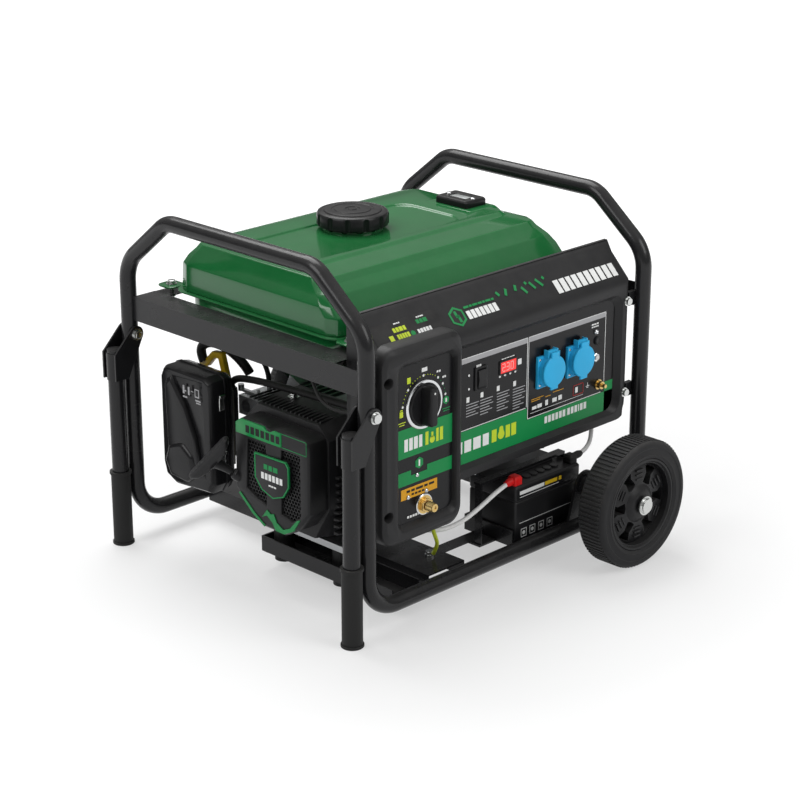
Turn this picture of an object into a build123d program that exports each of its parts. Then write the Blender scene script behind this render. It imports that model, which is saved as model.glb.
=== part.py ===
from build123d import *
import os
from math import cos, radians, sin, tan

# Portable open-frame petrol generator.  Millimetres, +Z up.
# +X runs along the frame from the recoil end to the wheel end, -Y is the control side.
# The origin is on the floor under the middle of the whole machine.

os.makedirs("parts", exist_ok=True)

# ---------------------------------------------------------------- driving dimensions
fit = 0.05              # radial running clearance of a shaft in its hole
gap = 0.3               # clearance between bodies that move past each other

tube_r = 12.7           # 25.4 mm frame tube
tube_wall = 1.8
recoil_x = -282.0       # axis of the two posts at the recoil end
wheel_x = 316.9         # axis of the two posts at the wheel end
side_y = 260.0          # post axes are this far to each side
rail_z = 39.4           # axis of the bottom rails
rail_bend_r = 55.0
joint_z = 150.0         # where a bent rail meets the end hoop
hoop_bend_z = 454.0     # posts lean inwards above this height
bar_z = 534.5           # axis of the top crossbar
bar_half = 160.0        # crossbar corners

pivot_z = 342.0         # bolt that the folding leg turns on
bolt_r = 4.0
leg_x = recoil_x - 30.5
leg_top = 322.0
grip_top = 122.0
grip_r = 15.3
grip_flange_r = 17.1

axle_x = 192.0
wheel_r = 102.0
axle_r = 8.0
wheel_in = 328.0        # inner face of the tyre
wheel_out = 378.0       # outer face of the tyre
rim_r = 74.0

engine_y = -50.0        # crankshaft axis
crank_z = 180.0
bank = radians(25.0)    # the cylinder leans this far up from level, towards +Y

tank_x = (-232.0, 271.0)
tank_y = (-150.0, 208.0)
tank_bolt_y = (-166.0, 229.0)
seam_z = 412.0
tank_floor = 372.0
tank_top = 491.0
cap_xy = (12.0, 71.0)
cap_r = 56.0
neck_r = 25.0

face_y = -258.0         # front of the console
panel_y = -250.0        # front of the recessed main panel
module_y = -272.0       # front of the selector module
selector_y = -262.0     # front of the selector panel
console_back = -200.0
console_x = (-262.0, 291.0)
module_x = (-262.0, -98.0)
console_z = (190.0, 416.0)
module_z = (132.0, 430.0)
wall = 3.0
socket_x = (106.0, 174.0)
socket_z = 311.0
dial_x, dial_z = -171.0, 330.0

battery_x = (50.0, 201.0)
battery_y = (-242.0, -144.0)
battery_z = (38.0, 132.0)


# ---------------------------------------------------------------- repeated operations
def save(part, name):
    """Label one finished piece and write it."""
    part.label = name
    export_step(part, f"parts/{name}.step")


def block(x, y, z, mode=Mode.ADD):
    """A rectangular block between two bounds on each axis."""
    middle = ((x[0] + x[1]) / 2, (y[0] + y[1]) / 2, (z[0] + z[1]) / 2)
    with Locations(middle):
        Box(abs(x[1] - x[0]), abs(y[1] - y[0]), abs(z[1] - z[0]), mode=mode)


def rod_x(r, x, y, z, mode=Mode.ADD):
    """A round bar along X between two stations."""
    with Locations(Location(((x[0] + x[1]) / 2, y, z), (0, 90, 0))):
        Cylinder(r, abs(x[1] - x[0]), mode=mode)


def rod_y(r, x, y, z, mode=Mode.ADD):
    """A round bar along Y between two stations."""
    with Locations(Location((x, (y[0] + y[1]) / 2, z), (90, 0, 0))):
        Cylinder(r, abs(y[1] - y[0]), mode=mode)


def rod_z(r, x, y, z, mode=Mode.ADD):
    """A round bar along Z between two heights."""
    with Locations((x, y, (z[0] + z[1]) / 2)):
        Cylinder(r, z[1] - z[0], mode=mode)


def outward(side, *distances):
    """Y stations given as distances from the middle of the machine."""
    return tuple(side * d for d in distances)


# ---------------------------------------------------------------- frame
def end_hoop(x):
    """One bent tube across the machine: two posts, two slanted shoulders, a crossbar."""
    with BuildPart() as hoop:
        with BuildLine(Plane.YZ.offset(x)) as path:
            FilletPolyline(
                (-side_y, joint_z), (-side_y, hoop_bend_z), (-bar_half, bar_z),
                (bar_half, bar_z), (side_y, hoop_bend_z), (side_y, joint_z),
                radius=[60, 48, 48, 60],
            )
        with BuildSketch(Plane(origin=path.line @ 0, z_dir=path.line % 0)):
            Circle(tube_r)
            Circle(tube_r - tube_wall, mode=Mode.SUBTRACT)
        sweep()
        if x == recoil_x:
            for side in (-1, 1):
                span = outward(side, side_y - 20, side_y + 20)
                rod_y(bolt_r + fit, x, span, pivot_z, mode=Mode.SUBTRACT)
        else:
            for z in (console_z[0] + 42, console_z[1] - 35):
                block((console_x[1] + 0.2, x - 9), (face_y + 4, face_y + 12), (z - 11, z + 11))
    return hoop.part


save(end_hoop(recoil_x), "recoil_end_hoop")
save(end_hoop(wheel_x), "wheel_end_hoop")


def bottom_rail(side):
    """One bent tube along the machine, with the welded bracket for a wheel's axle bolt."""
    with BuildPart() as rail:
        with BuildLine(Plane.XZ.offset(-side * side_y)) as path:
            FilletPolyline(
                (recoil_x, joint_z), (recoil_x, rail_z), (wheel_x, rail_z), (wheel_x, joint_z),
                radius=rail_bend_r,
            )
        with BuildSketch(Plane(origin=path.line @ 0, z_dir=path.line % 0)):
            Circle(tube_r)
            Circle(tube_r - tube_wall, mode=Mode.SUBTRACT)
        sweep()
        plate = outward(side, side_y - 2.5, side_y + 2.5)
        with BuildSketch(Plane.XZ.offset(-plate[1])) as outline:
            with Locations((axle_x, rail_z + 11)):
                Rectangle(78, 4)
            with Locations((axle_x, wheel_r)):
                Circle(24)
            make_hull()
        extrude(amount=side * 5)
        rod_y(16, axle_x, outward(side, side_y - 2.5, wheel_in - 8), wheel_r)
        rod_y(axle_r + fit, axle_x, outward(side, side_y - 10, wheel_in), wheel_r, mode=Mode.SUBTRACT)
    return rail.part


save(bottom_rail(-1), "front_bottom_rail")
save(bottom_rail(1), "back_bottom_rail")


def cross_plate(x, inward):
    """Folded strip between two posts, with four seats that the tank stands on."""
    reach = side_y - tube_r - 0.1
    with BuildPart() as plate:
        block((x - 1, x + 1), (-reach, reach), (364, 402))
        block((x, x + inward * 42), (console_back + 4, reach), (400, 402))
        for y in tank_bolt_y:
            block((x + inward * 40, x + inward * 78), (y - 17, y + 17), (400, 402))
            rod_z(3.3, x + inward * 60, y, (399, 403), mode=Mode.SUBTRACT)
    return plate.part


save(cross_plate(recoil_x, 1), "recoil_end_cross_plate")
save(cross_plate(wheel_x, -1), "wheel_end_cross_plate")

tray_x = (-220.0, -164.0)            # open-topped engine tray at the recoil end
tray_end = 36.0
channel_x = ((-146.0, -68.0), (207.0, 257.0))
channel_z = (27.0, 52.0)
channel_wall = 2.5
channel_reach = side_y - tube_r - 0.1
channel_floor = channel_z[0] + channel_wall
mount_y = (-115.0, 15.0)
tray_mount_x = -192.0
mount_seat = 70.0                    # underside of the engine and alternator feet
mount_stud_r = 5.0
with BuildPart() as channels:
    block(tray_x, (-channel_reach, tray_end), channel_z)
    inner_x = (tray_x[0] + channel_wall, tray_x[1] - channel_wall)
    inner_y = (-channel_reach - 1, tray_end - channel_wall)
    block(inner_x, inner_y, (channel_floor, channel_z[1] + 1), mode=Mode.SUBTRACT)
    block((tray_x[1] - 1, channel_x[0][0] + 1), (2, tray_end), (channel_z[0], channel_floor))
    for y in mount_y:
        rod_z(mount_stud_r + fit, tray_mount_x, y, (channel_z[0] - 1, channel_floor + 1), mode=Mode.SUBTRACT)
    for x0, x1 in channel_x:
        block((x0, x1), (-channel_reach, channel_reach), channel_z)
        hollow_x = (x0 + channel_wall, x1 - channel_wall)
        hollow_z = (channel_z[0] - 1, channel_z[1] - channel_wall)
        block(hollow_x, (-channel_reach - 1, channel_reach + 1), hollow_z, mode=Mode.SUBTRACT)
    rod_z(4.05, -93, -200, (45, 55), mode=Mode.SUBTRACT)
save(channels.part, "base_channels")

with BuildPart() as mounts:
    for y in mount_y:
        rod_z(16, tray_mount_x, y, (channel_floor, mount_seat))
        rod_z(mount_stud_r, tray_mount_x, y, (channel_z[0] - 1, channel_floor + 1))
        rod_z(15, tray_mount_x, y, (12, channel_z[0]))
        rod_z(16, sum(channel_x[1]) / 2, y, (channel_z[1], mount_seat))
save(mounts.part, "rubber_mounts")

with BuildPart() as axles:
    for side in (-1, 1):
        rod_y(axle_r, axle_x, outward(side, side_y - 8, wheel_out + 2), wheel_r)
        rod_y(13, axle_x, outward(side, side_y - 14, side_y - 2.5), wheel_r)
        rod_y(15, axle_x, outward(side, wheel_out + 0.5, wheel_out + 3), wheel_r)
        rod_y(11, axle_x, outward(side, wheel_out + 3, wheel_out + 7), wheel_r)
save(axles.part, "axle_bolts")

with BuildPart() as pivots:
    for side in (-1, 1):
        rod_y(bolt_r, recoil_x, outward(side, side_y - 22, side_y + 21), pivot_z)
        rod_y(9, recoil_x, outward(side, side_y + 16.4, side_y + 18), pivot_z)
        rod_y(7, recoil_x, outward(side, side_y + 18, side_y + 23), pivot_z)
        rod_y(7, recoil_x, outward(side, side_y - 22, side_y - 16.4), pivot_z)
save(pivots.part, "handle_pivot_bolts")


# ---------------------------------------------------------------- folding legs and wheels
def folding_leg(side):
    """A leg tube with a wider collar and two ears that straddle the post."""
    y = side * side_y
    with BuildPart() as leg:
        rod_z(tube_r, leg_x, y, (3, leg_top))
        rod_z(14.2, leg_x, y, (274, 317))
        rod_z(tube_r - tube_wall, leg_x, y, (2, leg_top - 3), mode=Mode.SUBTRACT)
        for ear in (y - 16.1, y + 13.1):
            with BuildSketch(Plane.XZ.offset(-ear)):
                with Locations((recoil_x, pivot_z)):
                    Circle(13)
                with Locations((leg_x, 296)):
                    Rectangle(25, 42)
                make_hull()
            extrude(amount=-3)
        rod_y(bolt_r + fit, recoil_x, (y - 20, y + 20), pivot_z, mode=Mode.SUBTRACT)
    return leg.part


def leg_grip(side):
    """Rubber sleeve over the lower end of a leg: its foot, and the hand grip when lifted."""
    y = side * side_y
    with BuildPart() as grip:
        rod_z(grip_r, leg_x, y, (0, grip_top))
        rod_z(grip_flange_r, leg_x, y, (grip_top - 4, grip_top))
        rod_z(grip_flange_r, leg_x, y, (0, 4))
        rod_z(tube_r, leg_x, y, (3, grip_top + 1), mode=Mode.SUBTRACT)
        chamfer(grip.edges().group_by(Axis.Z)[0], 1)
    return grip.part


def wheel_hub(side):
    """Moulded hub: bored boss, six webs and an outer ring."""
    inner = side * (wheel_in + 3)
    depth = wheel_out - wheel_in - 6
    with BuildPart() as hub:
        with BuildSketch(Plane.XZ.offset(-inner)):
            with Locations((axle_x, wheel_r)):
                Circle(rim_r)
                Circle(rim_r - 8, mode=Mode.SUBTRACT)
        extrude(amount=-side * depth)
        rod_y(20, axle_x, outward(side, wheel_in, wheel_out), wheel_r)
        web = outward(side, wheel_in + 18, wheel_out - 12)
        with BuildSketch(Plane.XZ.offset(-web[0])):
            with Locations((axle_x, wheel_r)):
                Circle(rim_r - 6)
                Circle(16, mode=Mode.SUBTRACT)
                with PolarLocations(46, 6):
                    SlotOverall(30, 15, rotation=90, mode=Mode.SUBTRACT)
        extrude(amount=-(web[1] - web[0]))
        rod_y(axle_r + fit, axle_x, outward(side, wheel_in - 2, wheel_out + 2), wheel_r, mode=Mode.SUBTRACT)
    return hub.part


def wheel_tyre(side):
    """Solid rubber tyre with rounded shoulders."""
    with BuildPart() as tyre:
        with BuildSketch(Plane.XZ.offset(-side * wheel_in)):
            with Locations((axle_x, wheel_r)):
                Circle(wheel_r)
                Circle(rim_r, mode=Mode.SUBTRACT)
        extrude(amount=-side * (wheel_out - wheel_in))
        outer = tyre.edges().filter_by(GeomType.CIRCLE).filter_by(lambda e: e.radius > rim_r + 1)
        fillet(outer, 6)
    return tyre.part


for side, name in ((-1, "front"), (1, "back")):
    save(folding_leg(side), f"{name}_leg")
    save(leg_grip(side), f"{name}_leg_grip")
    save(wheel_hub(side), f"{name}_wheel_hub")
    save(wheel_tyre(side), f"{name}_wheel_tyre")


# ---------------------------------------------------------------- fuel tank
def tank_upper(inset):
    """Two crossed profiles give the pressed upper half its sloping sides and ends."""
    y0, y1 = tank_y
    x0, x1 = tank_x
    top = tank_top
    with BuildPart() as upper:
        with BuildSketch(Plane.YZ.offset(x0)):
            with BuildLine():
                Polyline(
                    (y0, seam_z), (y0, 440), (y0 + 28, 468), (y0 + 50, 476), (y0 + 70, top),
                    (y1 - 43, top), (y1 - 8, 455), (y1, seam_z), close=True,
                )
            make_face()
            if inset:
                offset(amount=-inset)
        extrude(amount=x1 - x0)
        with BuildSketch(Plane.XZ.offset(-y1)):
            with BuildLine():
                Polyline(
                    (x0, seam_z), (x0, 452), (x0 + 18, top), (x1 - 15, top), (x1, 455), (x1, seam_z),
                    close=True,
                )
            make_face()
            if inset:
                offset(amount=-inset)
        extrude(amount=y1 - y0, mode=Mode.INTERSECT)
    return upper.part


tank_wall = 1.2
tank_bolts = [(x, y) for x in (recoil_x + 60, wheel_x - 60) for y in tank_bolt_y]
upper_shell = tank_upper(0)
upper_space = tank_upper(tank_wall)
with BuildPart() as tank:
    add(upper_shell)
    block((-222, 261), (-140, 196), (tank_floor, seam_z + 1))
    fillet(tank.edges().group_by(Axis.Z)[0], 14)
    block((tank_x[0] - 6, tank_x[1] + 6), (tank_y[0] - 6, tank_y[1] + 6), (seam_z - 2, seam_z + 1))
    for x, y in tank_bolts:
        block((x - 17, x + 17), (y - 17, y + 17), (seam_z - 2, seam_z + 1))
    rod_z(neck_r + 3, *cap_xy, (tank_top - 4, tank_top + 8))
    add(upper_space, mode=Mode.SUBTRACT)
    block((-220.8, 259.8), (-138.8, 194.8), (386, seam_z + 2), mode=Mode.SUBTRACT)
    block((-208, 247), (-126, 182), (373.2, 387), mode=Mode.SUBTRACT)
    rod_z(neck_r, *cap_xy, (tank_top - 6, tank_top + 9), mode=Mode.SUBTRACT)
    for x, y in tank_bolts:
        rod_z(3.2, x, y, (seam_z - 4, seam_z + 4), mode=Mode.SUBTRACT)
save(tank.part, "fuel_tank")

with BuildPart() as cap:
    rod_z(cap_r, *cap_xy, (tank_top + 2.5, tank_top + 26))
    fillet(cap.edges().group_by(Axis.Z)[-1], 4)
    rod_z(cap_r - 5, *cap_xy, (tank_top + 2, tank_top + 9), mode=Mode.SUBTRACT)
    rod_z(neck_r - gap, *cap_xy, (tank_top - 3, tank_top + 12))
    rod_z(neck_r - 3, *cap_xy, (tank_top - 4, tank_top + 8), mode=Mode.SUBTRACT)
save(cap.part, "fuel_cap")

gauge_xy = (226.0, 44.0)
with BuildPart() as gauge:
    gauge_x = (gauge_xy[0] - 24, gauge_xy[0] + 24)
    block(gauge_x, (gauge_xy[1] - 34, gauge_xy[1] + 34), (tank_top, tank_top + 12))
    fillet(gauge.edges().filter_by(Axis.Z), 4)
    chamfer(gauge.faces().sort_by(Axis.Z)[-1].edges(), 1.5)
save(gauge.part, "fuel_gauge")

console_bolts = [(console_x[1] - 9, z) for z in (console_z[0] + 42, console_z[1] - 35)]
with BuildPart() as bolts:
    for x, y in tank_bolts:
        rod_z(3.2, x, y, (396, seam_z + 6))
        rod_z(8, x, y, (seam_z + 1, seam_z + 2.6))
        rod_z(6, x, y, (seam_z + 2.6, seam_z + 7))
        rod_z(6, x, y, (394, 400))
    for x, z in console_bolts:
        rod_y(3, x, (face_y - 4, face_y + wall), z)
        rod_y(7.5, x, (face_y - 1.6, face_y), z)
        rod_y(5.5, x, (face_y - 6, face_y - 1.6), z)
save(bolts.part, "flange_bolts")


# ---------------------------------------------------------------- console
def console_solid(inset, back):
    """Side profile of the console run along X, joined to the deeper selector module."""
    x0, x1 = console_x
    with BuildPart() as solid:
        with BuildSketch(Plane.YZ.offset(x0 + inset)):
            with BuildLine():
                Polyline(
                    (face_y, console_z[0]), (face_y, console_z[1]), (-208, 468), (-200, 464),
                    (-200, console_z[0]), close=True,
                )
            make_face()
            if inset:
                offset(amount=-inset)
        extrude(amount=x1 - x0 - 2 * inset)
        block(
            (module_x[0] + inset, module_x[1] - inset), (module_y + inset, console_back - inset),
            (module_z[0] + inset, module_z[1] - inset),
        )
        if back:
            block((x0 + inset, x1 - inset), (-210, back), (console_z[0] + inset, 455))
            block(
                (module_x[0] + inset, module_x[1] - inset), (-210, back),
                (module_z[0] + inset, module_z[1] - inset),
            )
    return solid.part


panel_open = ((-84.0, 254.0), (212.0, 384.0))
selector_open = ((-227.0, -113.0), (165.0, 389.0))
console_outer = console_solid(0, 0)
console_space = console_solid(wall, -199)
with BuildPart() as console:
    add(console_outer)
    add(console_space, mode=Mode.SUBTRACT)
    block(panel_open[0], (face_y - 1, face_y + wall + 1), panel_open[1], mode=Mode.SUBTRACT)
    block(selector_open[0], (module_y - 1, module_y + wall + 1), selector_open[1], mode=Mode.SUBTRACT)
    for z in (182, 382):
        rod_y(6, -250, (module_y - 1, module_y + wall + 1), z, mode=Mode.SUBTRACT)
    for x, z in console_bolts:
        rod_y(3 + fit, x, (face_y - 1, face_y + wall + 1), z, mode=Mode.SUBTRACT)
save(console.part, "console_housing")

with BuildPart() as back_plate:
    with BuildSketch(Plane.XZ.offset(-console_back)):
        with BuildLine():
            low, high, main_low = module_z[0] + 3.2, 454.0, console_z[0] + 3.2
            left, right, step = console_x[0] + 3.2, console_x[1] - 3.2, module_x[1] - 3.2
            Polyline(
                (left, low), (step, low), (step, main_low), (right, main_low), (right, high), (left, high),
                close=True,
            )
        make_face()
    extrude(amount=2)
save(back_plate.part, "console_back_plate")

with BuildPart() as panel:
    block((-90, 260), (panel_y, panel_y + 2), (206, 390))
    for x in socket_x:
        rod_y(22, x, (panel_y - 1, panel_y + 3), socket_z, mode=Mode.SUBTRACT)
    block((-50.5, -31.5), (panel_y - 1, panel_y + 3), (318.5, 349.5), mode=Mode.SUBTRACT)
    rod_y(4 + fit, 219, (panel_y - 1, panel_y + 3), 303, mode=Mode.SUBTRACT)
    rod_y(3 + fit, 227, (panel_y - 1, panel_y + 3), 257, mode=Mode.SUBTRACT)
save(panel.part, "main_panel")

inlet_x, inlet_z = -170.0, 177.0
with BuildPart() as selector:
    block((-233, -107), (selector_y, selector_y + 2), (150, 395))
    rod_y(4 + fit, dial_x, (selector_y - 1, selector_y + 3), dial_z, mode=Mode.SUBTRACT)
    rod_y(6 + fit, inlet_x, (selector_y - 1, selector_y + 3), inlet_z, mode=Mode.SUBTRACT)
save(selector.part, "selector_panel")

with BuildPart() as dial:
    rod_y(33, dial_x, (selector_y - 5, selector_y - gap), dial_z)
    fillet(dial.edges().group_by(Axis.Y)[0], 2)
    block((dial_x - 8, dial_x + 8), (selector_y - 22, selector_y - 4), (dial_z - 31, dial_z + 31))
    fillet(dial.edges().group_by(Axis.Y)[0], 3)
    rod_y(4, dial_x, (selector_y - 1, selector_y + 22), dial_z)
save(dial.part, "selector_dial")

with BuildPart() as rocker:
    with BuildSketch(Plane.YZ.offset(-41 - 8)):
        with BuildLine():
            Polyline(
                (panel_y - 4, 321), (panel_y - 6, 334), (panel_y - 4, 347), (panel_y + 3, 344),
                (panel_y + 3, 324), close=True,
            )
        make_face()
    extrude(amount=16)
    rod_x(2, (-50.2, -31.8), panel_y + 0.5, 334)
save(rocker.part, "rocker_switch")

with BuildPart() as sockets:
    for x in socket_x:
        block((x - 25, x + 25), (panel_y - 4, panel_y), (socket_z - 25, socket_z + 25))
        rod_y(24, x, (panel_y - 12, panel_y - 3), socket_z)
        rod_y(21.5, x, (panel_y - 3, panel_y + 26), socket_z)
        rod_y(19.5, x, (panel_y - 14, panel_y + 5.5), socket_z, mode=Mode.SUBTRACT)
        for pin in (-9.5, 9.5):
            rod_y(2.5, x + pin, (panel_y + 5, panel_y + 24), socket_z, mode=Mode.SUBTRACT)
        for ear in (-11, 8.2):
            block((x + ear, x + ear + 2.8), (panel_y - 12.1, panel_y - 3), (socket_z + 21, socket_z + 34))
        rod_x(1.5, (x - 11, x + 11), panel_y - 9, socket_z + 30)
save(sockets.part, "socket_bodies")


def socket_lid(x):
    """Round lid on a knuckle that turns on the socket's hinge pin."""
    hinge_y = panel_y - 9
    with BuildPart() as lid:
        rod_y(25, x, (panel_y - 17, panel_y - 12.4), socket_z)
        block((x - 7.9, x + 7.9), (panel_y - 17, panel_y - 12.4), (socket_z + 20, socket_z + 31))
        rod_x(4, (x - 7.9, x + 7.9), hinge_y, socket_z + 30)
        fillet(lid.edges().group_by(Axis.Y)[0].filter_by(GeomType.CIRCLE), 1.2)
        rod_x(1.5 + fit, (x - 9, x + 9), hinge_y, socket_z + 30, mode=Mode.SUBTRACT)
    return lid.part


save(socket_lid(socket_x[0]), "left_socket_lid")
save(socket_lid(socket_x[1]), "right_socket_lid")

with BuildPart() as button:
    rod_y(4, 219, (panel_y - 5, panel_y + 12), 303)
save(button.part, "breaker_button")

with BuildPart() as earth:
    rod_y(3, 227, (panel_y - 16, panel_y + 8), 257)
    rod_y(8, 227, (panel_y - 2, panel_y), 257)
    rod_y(6, 227, (panel_y - 9, panel_y - 2), 257)
save(earth.part, "earth_terminal")

with BuildPart() as inlet:
    rod_y(6, inlet_x, (selector_y - 22, selector_y + 20), inlet_z)
    rod_y(14, inlet_x, (selector_y - 2, selector_y), inlet_z)
    rod_y(10, inlet_x, (selector_y - 8, selector_y - 2), inlet_z)
    rod_y(3, inlet_x, (selector_y - 23, selector_y + 21), inlet_z, mode=Mode.SUBTRACT)
save(inlet.part, "gas_inlet_fitting")


# ---------------------------------------------------------------- engine
axis_yz = (engine_y, crank_z)
engine_x = -85.0                     # cylinder centre line
joint_face = 72.0                    # crankcase to cylinder joint, from the crank axis
cylinder_plane = Plane(
    origin=(engine_x, engine_y, crank_z), x_dir=(1, 0, 0), z_dir=(0, cos(bank), sin(bank)),
)


def along_bank(distance, across=0.0):
    """Y and Z of a point at a distance up the cylinder, and across it."""
    y = engine_y + distance * cos(bank) - across * sin(bank)
    z = crank_z + distance * sin(bank) + across * cos(bank)
    return y, z


with BuildPart() as crankcase:
    block((-148, -22), (-118, 50), (78, 258))
    fillet(crankcase.edges().filter_by(Axis.X), 16)
    with Locations(cylinder_plane):
        with Locations((0, 0, joint_face + 100)):
            Box(200, 400, 200, mode=Mode.SUBTRACT)
    block((-208, -30), (-135, 35), (70, 80))
    rod_x(52, (-128, -42), *axis_yz, mode=Mode.SUBTRACT)
    rod_x(12 + fit, (-150, -120), *axis_yz, mode=Mode.SUBTRACT)
    rod_x(15 + fit, (-50, -20), *axis_yz, mode=Mode.SUBTRACT)
    with Locations(cylinder_plane):
        with Locations((0, 0, 60)):
            Cylinder(34, 40, mode=Mode.SUBTRACT)
    rod_y(10 + fit, engine_x, (-120, -101), 104, mode=Mode.SUBTRACT)
    rod_y(4, engine_x, (-102, -92), 104, mode=Mode.SUBTRACT)
    block((-120, -60), (-123, -117), (195, 215))
save(crankcase.part, "crankcase")

with BuildPart() as dipstick:
    rod_y(10, engine_x, (-118 + gap, -102), 104)
    rod_y(14, engine_x, (-134, -118 - gap), 104)
    rod_y(10, engine_x, (-118 - gap, -118 + gap), 104)
    rod_y(3, engine_x, (-102, -96), 104)
save(dipstick.part, "oil_dipstick")

with BuildPart() as cylinder:
    with Locations(cylinder_plane):
        with Locations((0, 0, (joint_face + 150) / 2)):
            Box(84, 84, 150 - joint_face)
        for step in range(6):
            with Locations((0, 0, joint_face + 8 + 8 * step)):
                Box(104, 104, 2.5)
        with Locations((0, 0, joint_face + 30)):
            Cylinder(34, 64, mode=Mode.SUBTRACT)
save(cylinder.part, "cylinder_block")

with BuildPart() as rocker_cover:
    with Locations(cylinder_plane):
        with Locations((0, 0, 150 + 13)):
            Box(84, 72, 26)
    fillet(rocker_cover.edges().filter_by(Axis.X), 6)
    with Locations(cylinder_plane):
        with Locations((0, 0, 150 + 10)):
            Box(76, 64, 22, mode=Mode.SUBTRACT)
save(rocker_cover.part, "rocker_cover")

plug_y, plug_z = along_bank(136, 42)
with BuildPart() as plug:
    plug_plane = Plane(origin=(engine_x, plug_y, plug_z), x_dir=(1, 0, 0), z_dir=(0, -sin(bank), cos(bank)))
    with Locations(plug_plane):
        with Locations((0, 0, 5)):
            Cylinder(9, 10)
        with Locations((0, 0, 26)):
            Cylinder(8, 34)
        with Locations((0, 10, 38)):
            Box(12, 26, 12)
save(plug.part, "spark_plug_and_cap")

shroud_x = (-230.0, -150.0)
with BuildPart() as shroud:
    block(shroud_x, (-150, 52), (84, 286))
    fillet(shroud.edges().filter_by(Axis.X), 26)
    block((shroud_x[0] + wall, shroud_x[1] + 1), (-147, 49), (87, 283), mode=Mode.SUBTRACT)
    rod_x(74, (shroud_x[0] - 1, shroud_x[0] + 4), *axis_yz, mode=Mode.SUBTRACT)
save(shroud.part, "fan_shroud")

cover_x = (-278.0, -230.0)
guide = Vector(-278, 25, 173)        # where the starter cord leaves the cover
pull = Vector(-0.646, 0.495, 0.581).normalized()
grip_bar = Vector(0.143, -0.669, 0.730)


def cover_block(inset):
    """Outline of the recoil cover run along X: chamfered on the control side."""
    with BuildPart() as solid:
        with BuildSketch(Plane.YZ.offset(cover_x[0] + inset)) as outline:
            with Locations((engine_y, crank_z + 1)):
                Rectangle(164, 166)
            chamfer(outline.vertices().group_by(Axis.Z)[0], 34)
            fillet(outline.vertices().group_by(Axis.Z)[-1], 18)
            if inset:
                offset(amount=-inset)
        extrude(amount=cover_x[1] - cover_x[0])
    return solid.part


cover_outer = cover_block(0)
cover_space = cover_block(wall)
with BuildPart() as cover:
    add(cover_outer)
    add(cover_space, mode=Mode.SUBTRACT)
    for column in (-105, -90, -10, 5):
        block((cover_x[0] - 1, cover_x[0] + 4), (column, column + 6), (150, 222), mode=Mode.SUBTRACT)
    rod_x(6, (cover_x[0] + 1, -243), *axis_yz)
    rod_x(11, (cover_x[0] + 1, -266), *axis_yz)
    with Locations(Plane(origin=guide, z_dir=pull)):
        Cylinder(7, 14)
        Cylinder(3.2, 60, mode=Mode.SUBTRACT)
save(cover.part, "recoil_cover")

pulley_r = 42.0
with BuildPart() as pulley:
    rod_x(pulley_r, (-264, -248), *axis_yz)
    rod_x(pulley_r + 1, (-259, -253), *axis_yz, mode=Mode.SUBTRACT)
    rod_x(pulley_r - 6, (-260, -252), *axis_yz)
    rod_x(6 + fit, (-265, -240), *axis_yz, mode=Mode.SUBTRACT)
save(pulley.part, "recoil_pulley")

stem = 44.0                          # from the guide to the middle of the pull grip
with BuildPart() as pull_grip:
    with Locations(Plane(origin=guide, z_dir=pull)):
        with Locations((0, 0, stem / 2 + 2)):
            Cylinder(2.5, stem - 4)
    with Locations(Plane(origin=guide + pull * stem, x_dir=grip_bar, z_dir=pull)):
        Box(104, 22, 17)
        with Locations((0, 0, -14)):
            Cone(6, 10, 14)
    fillet(pull_grip.edges().filter_by(lambda e: abs(e.length - 17) < 0.01), 8)
save(pull_grip.part, "recoil_grip")

with BuildPart() as flywheel:
    rod_x(72, (-212, -198), *axis_yz)
    rod_x(24, (-226, -198), *axis_yz)
    for turn in range(12):
        with Locations(Location((-219, engine_y, crank_z), (turn * 30, 0, 0))):
            with Locations((0, 0, 54)):
                Box(14, 2.5, 32)
    rod_x(12, (-230, -190), *axis_yz, mode=Mode.SUBTRACT)
save(flywheel.part, "flywheel")

with BuildPart() as rotor:
    rod_x(12, (-236, -95), *axis_yz)
    rod_x(38, (-104, -94), *axis_yz)
    rod_x(38, (-76, -66), *axis_yz)
    rod_x(11, (-96, -74), engine_y + 24 * cos(bank), crank_z + 24 * sin(bank))
    rod_x(15, (-76, 20), *axis_yz)
    rod_x(50.5, (20, 130), *axis_yz)
    rod_x(10, (130, 217), *axis_yz)
save(rotor.part, "crankshaft_and_rotor")

with BuildPart() as starter:
    rod_x(28, (-146, -50), -151, 205)
    rod_x(12, (-148, -146), -151, 205)
    rod_x(15, (-130, -66), -151, 248)
    block((-120, -76), (-158, -144), (225, 240))
    fillet(starter.edges().group_by(Axis.X)[-1], 3)
save(starter.part, "starter_motor")

cleaner_y = (84.0, 206.0)
cleaner_z = (118.0, 300.0)
with BuildPart() as cleaner:
    block((-272, -212), cleaner_y, cleaner_z)
    fillet(cleaner.edges().filter_by(Axis.X), 16)
    fillet(cleaner.faces().sort_by(Axis.X)[0].edges(), 8)
    space_y = (cleaner_y[0] + 9, cleaner_y[1] - 9)
    block((-269, -211), space_y, (cleaner_z[0] + 9, cleaner_z[1] - 9), mode=Mode.SUBTRACT)
save(cleaner.part, "air_cleaner_cover")

with BuildPart() as cleaner_base:
    block((-212, -204), (cleaner_y[0] + 2, cleaner_y[1] - 2), (cleaner_z[0] + 2, cleaner_z[1] - 2))
    fillet(cleaner_base.edges().filter_by(Axis.X), 15)
    intake_y, intake_z = along_bank(138)
    rod_x(16, (-204.5, -190), 100, intake_z)
    rod_x(10, (-220, -185), 100, intake_z, mode=Mode.SUBTRACT)
save(cleaner_base.part, "air_cleaner_base")

with BuildPart() as element:
    block((-262, -213), (100, 190), (150, 270))
    block((-250, -212), (112, 178), (162, 258), mode=Mode.SUBTRACT)
save(element.part, "air_filter_element")

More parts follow.
